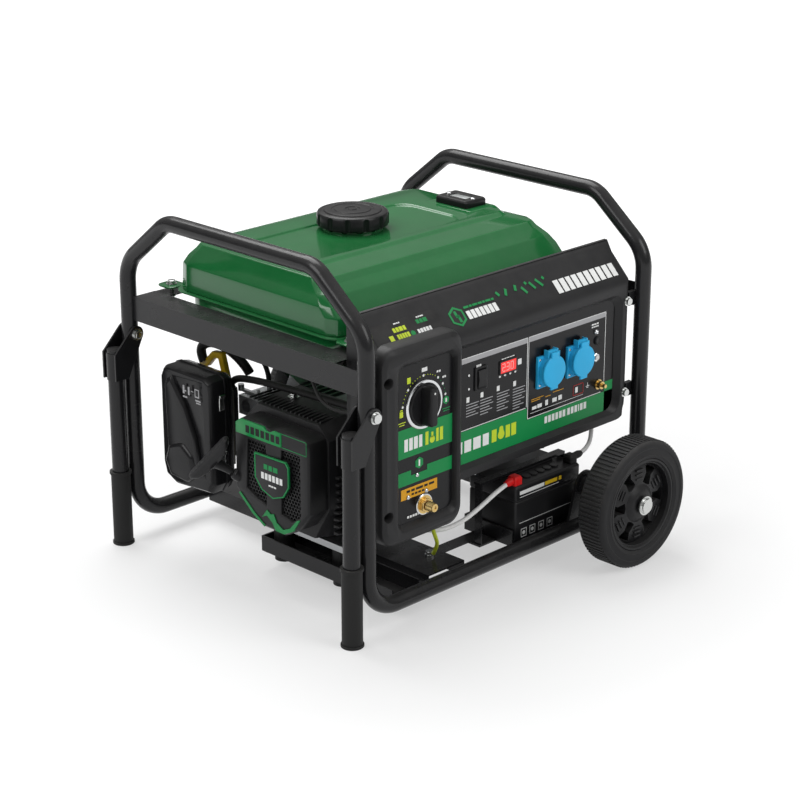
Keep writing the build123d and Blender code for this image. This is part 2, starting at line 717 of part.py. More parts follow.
with BuildPart() as carb:
    block((-190, -127), (intake_y - 6, 116), (intake_z - 15, intake_z + 15))
    rod_x(10, (-191, -170), 100, intake_z, mode=Mode.SUBTRACT)
    rod_z(18, -160, 90, (178, intake_z - 14))
    rod_z(4, -146, 95, (intake_z + 14, intake_z + 26))
    rod_z(2.5, -176, 86, (intake_z + 14, intake_z + 26))
save(carb.part, "carburettor")

with BuildPart() as choke:
    rod_z(6, -176, 86, (intake_z + 16, intake_z + 20))
    block((-179, -173), (88, 126), (intake_z + 16, intake_z + 20))
    rod_z(5, -176, 126, (intake_z + 16, intake_z + 26))
    rod_z(2.5 + fit, -176, 86, (intake_z + 10, intake_z + 30), mode=Mode.SUBTRACT)
save(choke.part, "choke_lever")

with BuildPart() as muffler:
    block((-20, 110), (62, 182), (190, 296))
    fillet(muffler.edges().filter_by(Axis.X), 22)
    block((-17, 107), (69, 175), (197, 289), mode=Mode.SUBTRACT)
    rod_x(14, (-43, -18), intake_y + 6, intake_z)
    rod_x(10, (108, 128), 150, 268)
    rod_x(8, (107, 130), 150, 268, mode=Mode.SUBTRACT)
save(muffler.part, "muffler")

# ---------------------------------------------------------------- alternator
with BuildPart() as stator:
    rod_x(90, (0, 180), *axis_yz)
    rod_x(82, (-22, 2), *axis_yz)
    rod_x(51.5, (8, 181), *axis_yz, mode=Mode.SUBTRACT)
    rod_x(80, (130, 181), *axis_yz, mode=Mode.SUBTRACT)
    rod_x(18, (-23, 9), *axis_yz, mode=Mode.SUBTRACT)
save(stator.part, "stator_housing")

with BuildPart() as end_cover:
    rod_x(90, (180, 224), *axis_yz)
    fillet(end_cover.edges().group_by(Axis.X)[-1], 10)
    rod_x(84, (179, 210), *axis_yz, mode=Mode.SUBTRACT)
    rod_x(24, (200, 224), *axis_yz)
    rod_x(10 + fit, (199, 219), *axis_yz, mode=Mode.SUBTRACT)
    for turn in range(10):
        with Locations(Location((216, engine_y, crank_z), (turn * 36, 0, 0))):
            with Locations((0, 0, 60)):
                Box(18, 12, 34, mode=Mode.SUBTRACT)
    block((212, 250), (-132, 32), (70, 80))
    block((212, 222), (-90, -10), (79, 112))
save(end_cover.part, "alternator_end_cover")

# ---------------------------------------------------------------- battery and cables
with BuildPart() as battery:
    block(battery_x, battery_y, battery_z)
    fillet(battery.edges().filter_by(Axis.Z), 3)
    block((battery_x[0] + 22, battery_x[1] - 22), battery_y, (battery_z[1] - 1, battery_z[1] + 4))
save(battery.part, "battery")

with BuildPart() as tray:
    low = battery_z[0] - 3
    block((battery_x[0] - 4, battery_x[1] + 4), (-247, battery_y[1] + 4), (low, battery_z[0]))
    block((battery_x[0] - 4, battery_x[0] - 1), (-240, battery_y[1] + 4), (low, low + 26))
    block((battery_x[1] + 1, battery_x[1] + 4), (-240, battery_y[1] + 4), (low, low + 26))
    block((battery_x[0] - 4, battery_x[1] + 4), (battery_y[1] + 1, battery_y[1] + 4), (low, low + 26))
    block((channel_x[0][1], channel_x[1][0]), (-182, -160), (low, battery_z[0]))
    bar_y = (-206, -192)
    block((battery_x[0] - 40, battery_x[1] + 4), bar_y, (battery_z[1] + 4, battery_z[1] + 8))
    for x in (battery_x[0] - 37, battery_x[1] + 2):
        block((x, x + 2), bar_y, (low, battery_z[1] + 6))
    block((battery_x[0] - 40, battery_x[0] - 2), (-206, -160), (low, battery_z[0]))
save(tray.part, "battery_tray")


def cable(points, radius):
    """Round cable: straight runs joined by arcs as large as the shorter run allows."""
    runs = [Vector(*b) - Vector(*a) for a, b in zip(points, points[1:])]
    radii = []
    for before, after in zip(runs, runs[1:]):
        half_turn = radians(before.get_angle(after)) / 2
        radii.append(0.45 * min(before.length, after.length) / tan(half_turn))
    print("cable radii", [round(r) for r in radii])
    with BuildPart() as run:
        with BuildLine() as path:
            FilletPolyline(*points, radius=radii)
        with BuildSketch(Plane(origin=path.line @ 0, z_dir=path.line % 0)):
            Circle(radius)
        sweep()
    length = path.wire().length
    full = run.part.volume / (length * 3.14159 * radius**2)
    print("cable length", round(length), "volume over section times length", round(full, 3))
    return run.part


boot_y = (-238.0, -221.0)
boot_z = (battery_z[1], battery_z[1] + 14)
positive_route = [
    (54, -229.5, 139), (24, -231, 134), (-20, -232, 117), (-62, -230, 103),
    (-102, -216, 98), (-127, -187, 108), (-130, -155, 138), (-130, -151, 176.8),
]
positive_run = cable(positive_route, 3.5)
with BuildPart() as positive:
    add(positive_run)
    block((53, 70), boot_y, boot_z)
    rod_x(5, (44, 54), -229.5, 139)
save(positive.part, "positive_cable")

negative_route = [
    (198, -229.5, 139), (219, -230, 140), (235, -231, 152), (237, -232, 171), (237, -232, 189.8),
]
negative_run = cable(negative_route, 3.5)
with BuildPart() as negative:
    add(negative_run)
    block((182, 198), boot_y, boot_z)
    rod_x(5, (197, 209), -229.5, 139)
save(negative.part, "negative_cable")

earth_route = [
    (-118, -229, 131.8), (-118, -229, 112), (-108, -227, 93), (-96, -219, 76), (-93, -207, 58),
]
earth_run = cable(earth_route, 3)
with BuildPart() as earth_lead:
    add(earth_run)
    rod_z(8, -93, -200, (channel_z[1], channel_z[1] + 4))
    rod_z(6.5, -93, -200, (channel_z[1] + 4, channel_z[1] + 9))
    rod_z(4, -93, -200, (channel_z[1] - 10, channel_z[1] + 5))
    block((-96.5, -89.5), (-212, -200), (channel_z[1] + 1, channel_z[1] + 8))
save(earth_lead.part, "earth_cable")

hose_route = [(-180, 130, tank_floor), (-180, 130, 334), (-146, 95, 302), (-146, 95, intake_z + 26)]
save(cable(hose_route, 4), "fuel_hose")
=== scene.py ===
import bpy
import bmesh
from math import atan2, cos, degrees as in_degrees, radians, sin
from mathutils import Vector, Matrix


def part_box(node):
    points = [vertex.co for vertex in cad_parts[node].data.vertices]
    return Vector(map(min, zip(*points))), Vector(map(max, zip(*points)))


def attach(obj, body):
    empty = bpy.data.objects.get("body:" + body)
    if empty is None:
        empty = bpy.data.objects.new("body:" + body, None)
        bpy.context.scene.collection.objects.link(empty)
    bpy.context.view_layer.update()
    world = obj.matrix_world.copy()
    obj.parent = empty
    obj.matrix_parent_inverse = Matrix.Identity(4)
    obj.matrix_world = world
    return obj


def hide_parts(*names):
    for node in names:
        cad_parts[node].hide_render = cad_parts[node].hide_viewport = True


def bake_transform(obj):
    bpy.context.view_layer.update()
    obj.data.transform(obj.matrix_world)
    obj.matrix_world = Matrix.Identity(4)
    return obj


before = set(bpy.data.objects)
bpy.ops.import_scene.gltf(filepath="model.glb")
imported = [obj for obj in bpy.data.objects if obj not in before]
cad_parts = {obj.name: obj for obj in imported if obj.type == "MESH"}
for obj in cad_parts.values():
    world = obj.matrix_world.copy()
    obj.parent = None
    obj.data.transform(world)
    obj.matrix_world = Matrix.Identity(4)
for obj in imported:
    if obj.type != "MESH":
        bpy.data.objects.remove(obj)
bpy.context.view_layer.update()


# ---- Camera ----
# A long lens at chest height, looking at the recoil end and the control side together.
bpy.ops.object.select_all(action="DESELECT")
bpy.ops.object.camera_add(location=(-2.2490, -2.2851, 1.3900), rotation=(radians(70.03), 0, radians(-45.1)))
camera = bpy.context.object
camera.data.lens = 98.37
camera.data.sensor_width = 36
bpy.context.scene.camera = camera


# ---- Studio floor and lights ----
# A white paper floor, matt, lit by three soft boxes and an even white room.
bpy.ops.object.select_all(action="DESELECT")
bpy.ops.mesh.primitive_plane_add(size=60, location=(0, 0, 0))
floor = bpy.context.object
floor.name = "floor"
paper = bpy.data.materials.new("floor_paper")
paper.use_nodes = True
paper.node_tree.nodes["Principled BSDF"].inputs["Base Color"].default_value = (0.38, 0.38, 0.38, 1)
paper.node_tree.nodes["Principled BSDF"].inputs["Roughness"].default_value = 0.7
paper.node_tree.nodes["Principled BSDF"].inputs["Emission Strength"].default_value = 1.0
spot = paper.node_tree.nodes.new("ShaderNodeTexCoord")
distance = paper.node_tree.nodes.new("ShaderNodeVectorMath")
distance.operation = "LENGTH"
brighten = paper.node_tree.nodes.new("ShaderNodeMapRange")
for label, value in (("From Min", 0.6), ("From Max", 2.6), ("To Min", 0.49), ("To Max", 0.95)):
    brighten.inputs[label].default_value = value
paper.node_tree.links.new(spot.outputs["Object"], distance.inputs[0])
paper.node_tree.links.new(distance.outputs["Value"], brighten.inputs["Value"])
paper.node_tree.links.new(
    brighten.outputs["Result"], paper.node_tree.nodes["Principled BSDF"].inputs["Emission Color"]
)
floor.data.materials.append(paper)
bpy.context.scene.view_settings.view_transform = "Standard"
studio = bpy.data.worlds.new("studio")
studio.use_nodes = True
sky = studio.node_tree
direction = sky.nodes.new("ShaderNodeTexCoord")
height = sky.nodes.new("ShaderNodeSeparateXYZ")
fade = sky.nodes.new("ShaderNodeMapRange")
for label, value in (("From Min", -0.05), ("From Max", 0.9), ("To Min", 0.06), ("To Max", 0.55)):
    fade.inputs[label].default_value = value
sky.links.new(direction.outputs["Generated"], height.inputs["Vector"])
sky.links.new(height.outputs["Z"], fade.inputs["Value"])
sky.links.new(fade.outputs["Result"], sky.nodes["Background"].inputs["Strength"])
sky.nodes["Background"].inputs["Color"].default_value = (1, 1, 1, 1)
bpy.context.scene.world = studio
for place, across, power in (
    ((-2.6, 0.4, 2.5), 1.6, 38),
    ((0.6, -2.6, 2.2), 1.6, 36),
    ((0.3, 1.2, 2.9), 2.2, 84),
):
    bpy.ops.object.light_add(type="AREA", location=place)
    lamp = bpy.context.object
    lamp.data.size = across
    lamp.data.energy = power
    lamp.rotation_euler = (Vector((0, 0, 0.25)) - Vector(place)).to_track_quat("-Z", "Y").to_euler()


# ---- Frame tubes, legs and cross plates ----
# Bent and welded 25.4 mm steel tube with two folded plates, all powder coated gloss black.
# The coat has a fine orange peel, dulls where hands and straps rub, and holds a little dust.
def new_group(name, inputs, outputs):
    group = bpy.data.node_groups.new(name, "ShaderNodeTree")
    for label, value in inputs:
        kind = "NodeSocketColor" if isinstance(value, tuple) else "NodeSocketFloat"
        group.interface.new_socket(label, in_out="INPUT", socket_type=kind).default_value = value
    for label in outputs:
        group.interface.new_socket(label, in_out="OUTPUT", socket_type="NodeSocketFloat")
    return group, group.nodes.new("NodeGroupInput"), group.nodes.new("NodeGroupOutput")


def join(tree, *pairs):
    for start, end in pairs:
        tree.links.new(start, end)


def math_node(tree, operation, first, second):
    node = tree.nodes.new("ShaderNodeMath")
    node.operation = operation
    for socket, value in zip(node.inputs, (first, second)):
        if isinstance(value, (int, float)):
            socket.default_value = value
        else:
            tree.links.new(value, socket)
    return node.outputs[0]


grain_group, inside, outside = new_group(
    "surface_grain", [("Scale", 900.0), ("Mix", 0.5)], ["Height", "Tone"]
)
place = grain_group.nodes.new("ShaderNodeTexCoord")
fine = grain_group.nodes.new("ShaderNodeTexNoise")
fine.inputs["Detail"].default_value = 3
broad = grain_group.nodes.new("ShaderNodeTexNoise")
broad.inputs["Scale"].default_value = 14
broad.inputs["Detail"].default_value = 4
cells = grain_group.nodes.new("ShaderNodeTexVoronoi")
join(
    grain_group,
    (place.outputs["Object"], fine.inputs["Vector"]),
    (place.outputs["Object"], broad.inputs["Vector"]),
    (place.outputs["Object"], cells.inputs["Vector"]),
    (inside.outputs["Scale"], fine.inputs["Scale"]),
    (inside.outputs["Scale"], cells.inputs["Scale"]),
    (broad.outputs["Fac"], outside.inputs["Tone"]),
)
blend_cells = math_node(grain_group, "MULTIPLY", cells.outputs["Distance"], inside.outputs["Mix"])
join(
    grain_group, (math_node(grain_group, "ADD", fine.outputs["Fac"], blend_cells), outside.inputs["Height"])
)

wear_group, inside, outside = new_group("edge_wear", [("Width", 0.0015), ("Patch", 60.0)], ["Mask"])
place = wear_group.nodes.new("ShaderNodeTexCoord")
rounded = wear_group.nodes.new("ShaderNodeBevel")
rounded.samples = 3
true_normal = wear_group.nodes.new("ShaderNodeNewGeometry")
facing = wear_group.nodes.new("ShaderNodeVectorMath")
facing.operation = "DOT_PRODUCT"
patches = wear_group.nodes.new("ShaderNodeTexNoise")
patches.inputs["Detail"].default_value = 5
join(
    wear_group,
    (inside.outputs["Width"], rounded.inputs["Radius"]),
    (rounded.outputs["Normal"], facing.inputs[0]),
    (true_normal.outputs["Normal"], facing.inputs[1]),
    (place.outputs["Object"], patches.inputs["Vector"]),
    (inside.outputs["Patch"], patches.inputs["Scale"]),
)
off_edge = math_node(wear_group, "SUBTRACT", 1.0, facing.outputs["Value"])
sharp = math_node(wear_group, "MULTIPLY", off_edge, 6.0)
worn = math_node(wear_group, "MULTIPLY", sharp, math_node(wear_group, "POWER", patches.outputs["Fac"], 2.0))
join(wear_group, (math_node(wear_group, "MINIMUM", worn, 1.0), outside.inputs["Mask"]))

dust_group, inside, outside = new_group("settled_dust", [("Amount", 0.2)], ["Mask"])
place = dust_group.nodes.new("ShaderNodeTexCoord")
upward = dust_group.nodes.new("ShaderNodeSeparateXYZ")
true_normal = dust_group.nodes.new("ShaderNodeNewGeometry")
specks = dust_group.nodes.new("ShaderNodeTexNoise")
specks.inputs["Scale"].default_value = 45
specks.inputs["Detail"].default_value = 6
join(
    dust_group,
    (true_normal.outputs["Normal"], upward.inputs["Vector"]),
    (place.outputs["Object"], specks.inputs["Vector"]),
)
top_side = math_node(dust_group, "MAXIMUM", upward.outputs["Z"], 0.0)
lying = math_node(dust_group, "MULTIPLY", top_side, specks.outputs["Fac"])
join(
    dust_group, (math_node(dust_group, "MULTIPLY", lying, inside.outputs["Amount"]), outside.inputs["Mask"])
)


def finish(
    name, colour, rough, metal=0.0, coat=0.0, grain=900, cell=0.5, depth=0.00003, worn=None, edge=0.0012,
    dust=0.1, shine=0.2
):
    """A surface with fine relief, cloudy tone, edges rubbed to the worn colour, and dust on top."""
    material = bpy.data.materials.new(name)
    material.use_nodes = True
    tree = material.node_tree
    shader = tree.nodes["Principled BSDF"]
    relief = tree.nodes.new("ShaderNodeGroup")
    relief.node_tree = grain_group
    relief.inputs["Scale"].default_value = grain
    relief.inputs["Mix"].default_value = cell
    bump = tree.nodes.new("ShaderNodeBump")
    bump.inputs["Distance"].default_value = depth
    bump.inputs["Strength"].default_value = 0.6
    rubbed = tree.nodes.new("ShaderNodeGroup")
    rubbed.node_tree = wear_group
    rubbed.inputs["Width"].default_value = edge
    powder = tree.nodes.new("ShaderNodeGroup")
    powder.node_tree = dust_group
    powder.inputs["Amount"].default_value = dust
    mixes = []
    dark = tuple(c * 0.86 for c in colour) + (1,)
    light = tuple(min(c * 1.14, 1) for c in colour) + (1,)
    worn_colour = tuple(worn or tuple(min(c * 1.6 + 0.01, 1) for c in colour)) + (1,)
    for low, high in ((dark, light), (None, worn_colour), (None, (0.55, 0.53, 0.50, 1))):
        mix = tree.nodes.new("ShaderNodeMix")
        mix.data_type = "RGBA"
        mix.inputs[7].default_value = high
        if low:
            mix.inputs[6].default_value = low
        else:
            tree.links.new(mixes[-1].outputs[2], mix.inputs[6])
        mixes.append(mix)
    spread = tree.nodes.new("ShaderNodeMapRange")
    spread.inputs["To Min"].default_value = max(rough - 0.07, 0.02)
    spread.inputs["To Max"].default_value = min(rough + 0.09, 1)
    join(
        tree,
        (relief.outputs["Tone"], mixes[0].inputs[0]),
        (rubbed.outputs["Mask"], mixes[1].inputs[0]),
        (powder.outputs["Mask"], mixes[2].inputs[0]),
        (mixes[2].outputs[2], shader.inputs["Base Color"]),
        (relief.outputs["Height"], bump.inputs["Height"]),
        (bump.outputs["Normal"], shader.inputs["Normal"]),
        (relief.outputs["Tone"], spread.inputs["Value"]),
        (
            math_node(tree, "ADD", spread.outputs["Result"], powder.outputs["Mask"]),
            shader.inputs["Roughness"]
        ),
    )
    shader.inputs["Metallic"].default_value = metal
    shader.inputs["Specular IOR Level"].default_value = shine
    shader.inputs["Coat Weight"].default_value = coat
    shader.inputs["Coat Roughness"].default_value = 0.08
    return material


def cover(material, *nodes):
    """Gives carried-over parts their finish."""
    for node in nodes:
        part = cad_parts[node]
        part.data.materials.clear()
        part.data.materials.append(material)


powder_black = finish(
    "powder_black", (0.011, 0.011, 0.012), 0.24, coat=0.16, grain=320, depth=0.00006, dust=0.05
)
cover(
    powder_black, "front_bottom_rail", "back_bottom_rail", "recoil_end_cross_plate", "wheel_end_cross_plate",
    "recoil_end_hoop", "wheel_end_hoop", "front_leg", "back_leg", "base_channels",
)


# ---- Fuel tank ----
# Two pressed steel halves joined at a seam flange, in gloss green enamel over primer.
# The upper half steps down to the control side in two terraces and has a dished filler area.
def clear():
    bpy.ops.object.select_all(action="DESELECT")


def edit(ob, kind="FACE", test=None):
    """Opens a piece with only the faces, edges or points that pass the test selected (mm)."""
    clear()
    bpy.context.view_layer.objects.active = ob
    ob.select_set(True)
    bpy.ops.object.mode_set(mode="EDIT")
    bpy.ops.mesh.select_mode(type=kind)
    bpy.ops.mesh.select_all(action="SELECT" if test is None else "DESELECT")
    if test is None:
        return
    mesh = bmesh.from_edit_mesh(ob.data)
    for part in {"FACE": mesh.faces, "EDGE": mesh.edges, "VERT": mesh.verts}[kind]:
        if kind == "FACE":
            chosen = test(part.calc_center_median() * 1000, part.normal)
        elif kind == "EDGE":
            a, b = part.verts
            chosen = test((a.co + b.co) * 500, (b.co - a.co).normalized())
        else:
            chosen = test(part.co * 1000, None)
        part.select_set(bool(chosen))
    bmesh.update_edit_mesh(ob.data)


def close():
    bpy.ops.object.mode_set(mode="OBJECT")


def settle(ob, at=(0, 0, 0), turn=(0, 0, 0)):
    """Turns and moves a piece (mm), and puts both into its mesh."""
    clear()
    ob.select_set(True)
    bpy.context.view_layer.objects.active = ob
    ob.location = Vector(at) / 1000
    ob.rotation_euler = turn
    bpy.ops.object.transform_apply(location=True, rotation=True, scale=True)


def layered(name, sides, rings, at=(0, 0, 0), turn=(0, 0, 0), corner=0.0, steps=4):
    """A face raised ring by ring: each ring is (x0, x1, y0, y1, z) or (radius, z), in mm."""
    clear()
    rings = [(-r[0], r[0], -r[0], r[0], r[1]) if len(r) == 2 else r for r in rings]
    if sides == 4:
        bpy.ops.mesh.primitive_plane_add(size=2, location=(0, 0, 0))
    else:
        bpy.ops.mesh.primitive_circle_add(vertices=sides, radius=1, fill_type="NGON", location=(0, 0, 0))
    ob = bpy.context.object
    ob.name = name
    bpy.ops.object.mode_set(mode="EDIT")
    bpy.ops.mesh.select_all(action="SELECT")
    half, middle = (1.0, 1.0), Vector((0, 0, 0))
    for index, (x0, x1, y0, y1, z) in enumerate(rings):
        centre = Vector(((x0 + x1) / 2, (y0 + y1) / 2, z)) / 1000
        size = ((x1 - x0) / 2000, (y1 - y0) / 2000)
        move = centre - middle
        if index:
            bpy.ops.mesh.extrude_region_move(TRANSFORM_OT_translate={"value": move})
        else:
            bpy.ops.transform.translate(value=move)
        scale = (size[0] / half[0], size[1] / half[1], 1)
        bpy.ops.transform.resize(value=scale, center_override=centre)
        if index == 0 and corner:
            bpy.ops.mesh.bevel(offset=corner / 1000, segments=steps, affect="VERTICES")
        half, middle = size, centre
    bpy.ops.mesh.select_all(action="SELECT")
    bpy.ops.mesh.normals_make_consistent(inside=False)
    close()
    settle(ob, at, turn)
    return ob


def modify(ob, kind, **settings):
    """Adds a modifier and applies it."""
    clear()
    bpy.context.view_layer.objects.active = ob
    ob.select_set(True)
    bpy.ops.object.modifier_add(type=kind)
    modifier = ob.modifiers[-1]
    for key, value in settings.items():
        setattr(modifier, key, value)
    bpy.ops.object.modifier_apply(modifier=modifier.name)


def soften(ob, width, segments=2, angle=25):
    """Rounds every edge sharper than the angle."""
    modify(
        ob, "BEVEL", width=width / 1000, segments=segments, limit_method="ANGLE", angle_limit=radians(angle)
    )


def cut(ob, tool, operation="DIFFERENCE"):
    """Cuts with, or welds on, another piece, which is used up."""
    modify(ob, "BOOLEAN", operation=operation, object=tool, solver="EXACT")
    bpy.data.objects.remove(tool, do_unlink=True)


def weld(name, *pieces):
    """Joins pieces into one object."""
    clear()
    for piece in pieces:
        piece.select_set(True)
    bpy.context.view_layer.objects.active = pieces[0]
    bpy.ops.object.join()
    pieces[0].name = name
    return pieces[0]


def place_on(ob, body, material, slot, *replaced, angle=30):
    """Smooths, paints and hangs a finished piece on its body."""
    clear()
    bpy.context.view_layer.objects.active = ob
    ob.select_set(True)
    bpy.ops.object.shade_smooth_by_angle(angle=radians(angle))
    if material:
        ob.data.materials.clear()
        ob.data.materials.append(material)
    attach(ob, body)
    if replaced:
        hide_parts(*replaced)
    return ob


enamel = finish(
    "tank_enamel", (0.006, 0.112, 0.027), 0.16, coat=0.6, grain=120, cell=0.1, depth=0.00005, edge=0.0008,
    dust=0.03
)
upper_rings = [
    (-232, 271, -150, 208, 413), (-232, 271, -150, 208, 416), (-231.5, 270.5, -149.5, 207.5, 440),
    (-230.5, 270, -136, 207, 454), (-224, 264, -123, 200, 467), (-216, 257, -104, 190, 478),
    (-212, 254, -95, 184, 486), (-203, 247, -45, 172, 486.4), (-200, 244, -37, 168, 491),
]
tank = layered("tank_shell", 4, upper_rings, corner=26, steps=2)
dish = layered("dish", 4, [(-190, 168, -26, 120, 493), (-186, 164, -22, 116, 487.5)], corner=34, steps=6)
cut(tank, dish)
soften(tank, 3.0, 3, 12)
lower = layered(
    "tank_pan", 4,
    [
        (-208, 247, -126, 182, 372), (-222, 261, -140, 196, 384), (-222, 261, -140, 196, 412.5)
    ], corner=30, steps=4,
)
soften(lower, 6, 3, 30)
flange = layered(
    "tank_flange", 4, [(-238, 277, -156, 214, 410.5), (-238, 277, -156, 214, 413)], corner=30, steps=5
)
tabs = []
for x in (-222, 256.9):
    for y in (-166, 229):
        tab = layered(
            "tab", 4, [(x - 17, x + 17, y - 17, y + 17, 410.4), (x - 17, x + 17, y - 17, y + 17, 413.1)],
            corner=9
        )
        tabs.append(tab)
flange = weld("tank_flange", flange, *tabs)
soften(flange, 0.8, 2)
pad = layered("gauge_pad", 4, [(190, 262, -14, 102, 484), (196, 256, -6, 94, 491.5)], corner=6, steps=2)
soften(pad, 2, 3)
neck = layered("neck", 48, [(29, 484), (29, 497)], at=(12, 71, 0))
soften(neck, 1, 2)
tank = weld("fuel_tank_shell", tank, lower, flange, pad, neck)
place_on(tank, "frame", enamel, "tank_green", "fuel_tank", angle=35)

# ---- Console housing and selector module ----
# Moulded charcoal ABS with a spark-eroded grain: a hood that slopes back at the top, a rounded
# frame round the recessed main panel, and a deeper selector module moulded on its left.
charcoal = finish("charcoal_plastic", (0.018, 0.018, 0.019), 0.38, grain=700, depth=0.00007, dust=0.04)
hood = layered(
    "hood", 4, [(-262, 291, -258, -200, 190), (-262, 291, -258, -200, 416), (-262, 291, -208, -200, 468)]
)
edit(hood, "EDGE", lambda at, along: abs(along.y) > 0.9 and at.z < 195)
bpy.ops.mesh.bevel(offset=0.026, segments=6)
close()
edit(hood, "EDGE", lambda at, along: abs(along.x) > 0.9 and at.z > 460)
bpy.ops.mesh.bevel(offset=0.007, segments=4)
close()
edit(hood, "EDGE", lambda at, along: abs(at.x - 14.5) > 270 and abs(along.z) > 0.5 and at.y < -210)
bpy.ops.mesh.bevel(offset=0.012, segments=5)
close()
edit(hood, "EDGE", lambda at, along: abs(along.x) > 0.9 and 410 < at.z < 420)
bpy.ops.mesh.bevel(offset=0.012, segments=4)
close()
recess = layered(
    "recess", 4, [
        (-122, 272, 202, 396, 262), (-122, 272, 202, 396, 257.5), (-110, 262, 208, 388, 250.3),
        (-110, 262, 208, 388, 240)
    ],
    turn=(radians(90), 0, 0), corner=20, steps=6,
)
cut(hood, recess)
module = layered(
    "module", 4,
    [
        (-262, -98, 132, 430, 200), (-262, -98, 132, 430, 262), (-260, -100, 134, 428, 268),
        (-254, -106, 140, 422, 272)
    ],
    turn=(radians(90), 0, 0), corner=26, steps=8,
)
window = layered(
    "window", 4, [
        (-235, -106, 148, 408, 273), (-230, -110, 153, 401, 270), (-227, -113, 158, 395, 262.3),
        (-227, -113, 158, 395, 240)
    ],
    turn=(radians(90), 0, 0), corner=14, steps=6,
)
cut(module, window)
for z in (182, 382):
    hole = layered("hole", 32, [(8.5, 273), (7, 266), (6, 240)], at=(-250, 0, z), turn=(radians(90), 0, 0))
    cut(module, hole)
soften(hood, 1.6, 3, 28)
soften(module, 1.2, 2, 28)
console = weld("console_shell", hood, module)
place_on(console, "frame", charcoal, "console_black", "console_housing", angle=40)


# ---- Printed marks on the hood ----
# Plain screen-printed bars and blocks where the maker prints names and ratings, in white, green
# and lime ink a tenth of a millimetre thick on the sloping face.
upright = (radians(90), 0, 0)
ink_white = finish(
    "ink_white", (0.72, 0.73, 0.72), 0.42, grain=1500, depth=0.00001, worn=(0.30, 0.30, 0.30), edge=0.0003
)
ink_green = finish(
    "ink_green", (0.004, 0.215, 0.055), 0.38, grain=1500, depth=0.00001, worn=(0.01, 0.08, 0.03),
    edge=0.0003
)
ink_lime = finish(
    "ink_lime", (0.50, 0.62, 0.030), 0.40, grain=1500, depth=0.00001, worn=(0.2, 0.25, 0.02), edge=0.0003
)
ink_grey = finish(
    "ink_grey", (0.34, 0.34, 0.35), 0.38, grain=1500, depth=0.00001, worn=(0.16, 0.16, 0.16), edge=0.0003
)
ink_dark = finish("ink_dark", (0.008, 0.008, 0.009), 0.45, grain=1500, depth=0.00001, edge=0.0003)


def print_on(name, ink, shapes, face, at=(0, 0, 0), turn=upright, raised=0.25, slot="panel_black"):
    """Ink patches on a face: (x0, x1, z0, z1), (x, z, radius) or (x, z, radius, sides)."""
    patches = []
    for shape in shapes:
        if len(shape) == 4 and shape[3] in (3, 5, 6):
            x, z, radius, sides = shape
            low, high = (x - radius, x + radius, z - radius, z + radius, face), (
                x - radius, x + radius, z - radius, z + radius, face + raised
            )
        elif len(shape) == 3:
            x, z, radius = shape
            sides = 28
            low, high = (x - radius, x + radius, z - radius, z + radius, face), (
                x - radius, x + radius, z - radius, z + radius, face + raised
            )
        else:
            sides = 4
            low, high = shape + (face,), shape + (face + raised,)
        patches.append(layered("patch", sides, [low, high], at=at, turn=turn))
    return place_on(weld(name, *patches), "frame", ink, slot)


slope = (radians(46.12), 0, 0)
crease = (0, -258, 416)


def bars(x0, x1, z0, z1, widths, space):
    """A row of upright blocks that fills the given length."""
    unit = (x1 - x0 - space * (len(widths) - 1)) / sum(widths)
    row, x = [], x0
    for width in widths:
        row.append((x, x + width * unit, z0, z1))
        x += width * unit + space
    return row


print_on("hood_label_ground", ink_dark, [(-246, -112, 13, 48)], 0.3, crease, slope, 0.2)
lime_marks = bars(-206, -181, 30, 37, (1, 1, 1.3, 1), 1.2) + bars(
    -204, -180, 17.5, 26, (1, 1, 1, 1, 1.2), 1.0
) + [(-219, -211, 17.5, 27)]
print_on("hood_lime_marks", ink_lime, lime_marks, 0.5, crease, slope)
green_marks = bars(-158, -137, 33, 39.5, (1, 1, 1.3), 1.2) + [(-173.5, 21.5, 4.2)]
green_marks += bars(-62, 2, 33.5, 37, (2, 1, 2, 1.5, 1, 2, 1), 1.4)
print_on("hood_green_marks", ink_green, green_marks, 0.5, crease, slope)
print_on("hood_emblem", ink_green, [(-81, 25, 16.5, 6)], 0.4, crease, slope)
print_on("hood_emblem_centre", ink_dark, [(-81, 25, 12.5, 6)], 0.65, crease, slope)
bolt_mark = [(-85, -80, 24, 34), (-82, -77, 15, 26), (-84.5, -77.5, 23, 27)]
print_on("hood_emblem_bolt", ink_green, bolt_mark, 0.9, crease, slope)
white_marks = bars(
    -164, -137, 18.5, 25, (1, 1.2, 1, 1.2, 1), 1.2
) + bars(-62, 1, 15.5, 29, (1, 1, 1, 1, 1, 1, 1), 1.8)
white_marks += bars(
    130, 268, 11.5, 34, (1, 1, 0.9, 1, 1, 1, 1, 1, 1, 1), 3.2
) + bars(-199, -187, 42, 44, (2, 1, 1), 0.8)
white_marks += bars(-154, -140, 42, 44, (1, 1, 2), 0.8)
print_on("hood_white_marks", ink_white, white_marks, 0.5, crease, slope)
slashes = []
for x, low, high, lean in (
    (14, 36, 44, 0.5), (31, 33, 45, -0.5), (53, 36, 46, -0.45), (68, 27, 40, 0.5), (77, 41, 46, 0.5), (88, 30, 44, 0.5),
    (104, 30, 46, 0.6), (116, 41, 46, 0.6),
):
    slash = layered(
        "slash", 4,
        [
            (-2.4, 2.4, (low - high) / 2, (high - low) / 2, 0.5),
            (-2.4, 2.4, (low - high) / 2, (high - low) / 2, 0.75)
        ]
    )
    settle(slash, (x, (low + high) / 2, 0), (0, 0, lean))
    settle(slash, crease, slope)
    slashes.append(slash)
place_on(weld("hood_slashes", *slashes), "frame", ink_green, "panel_black")


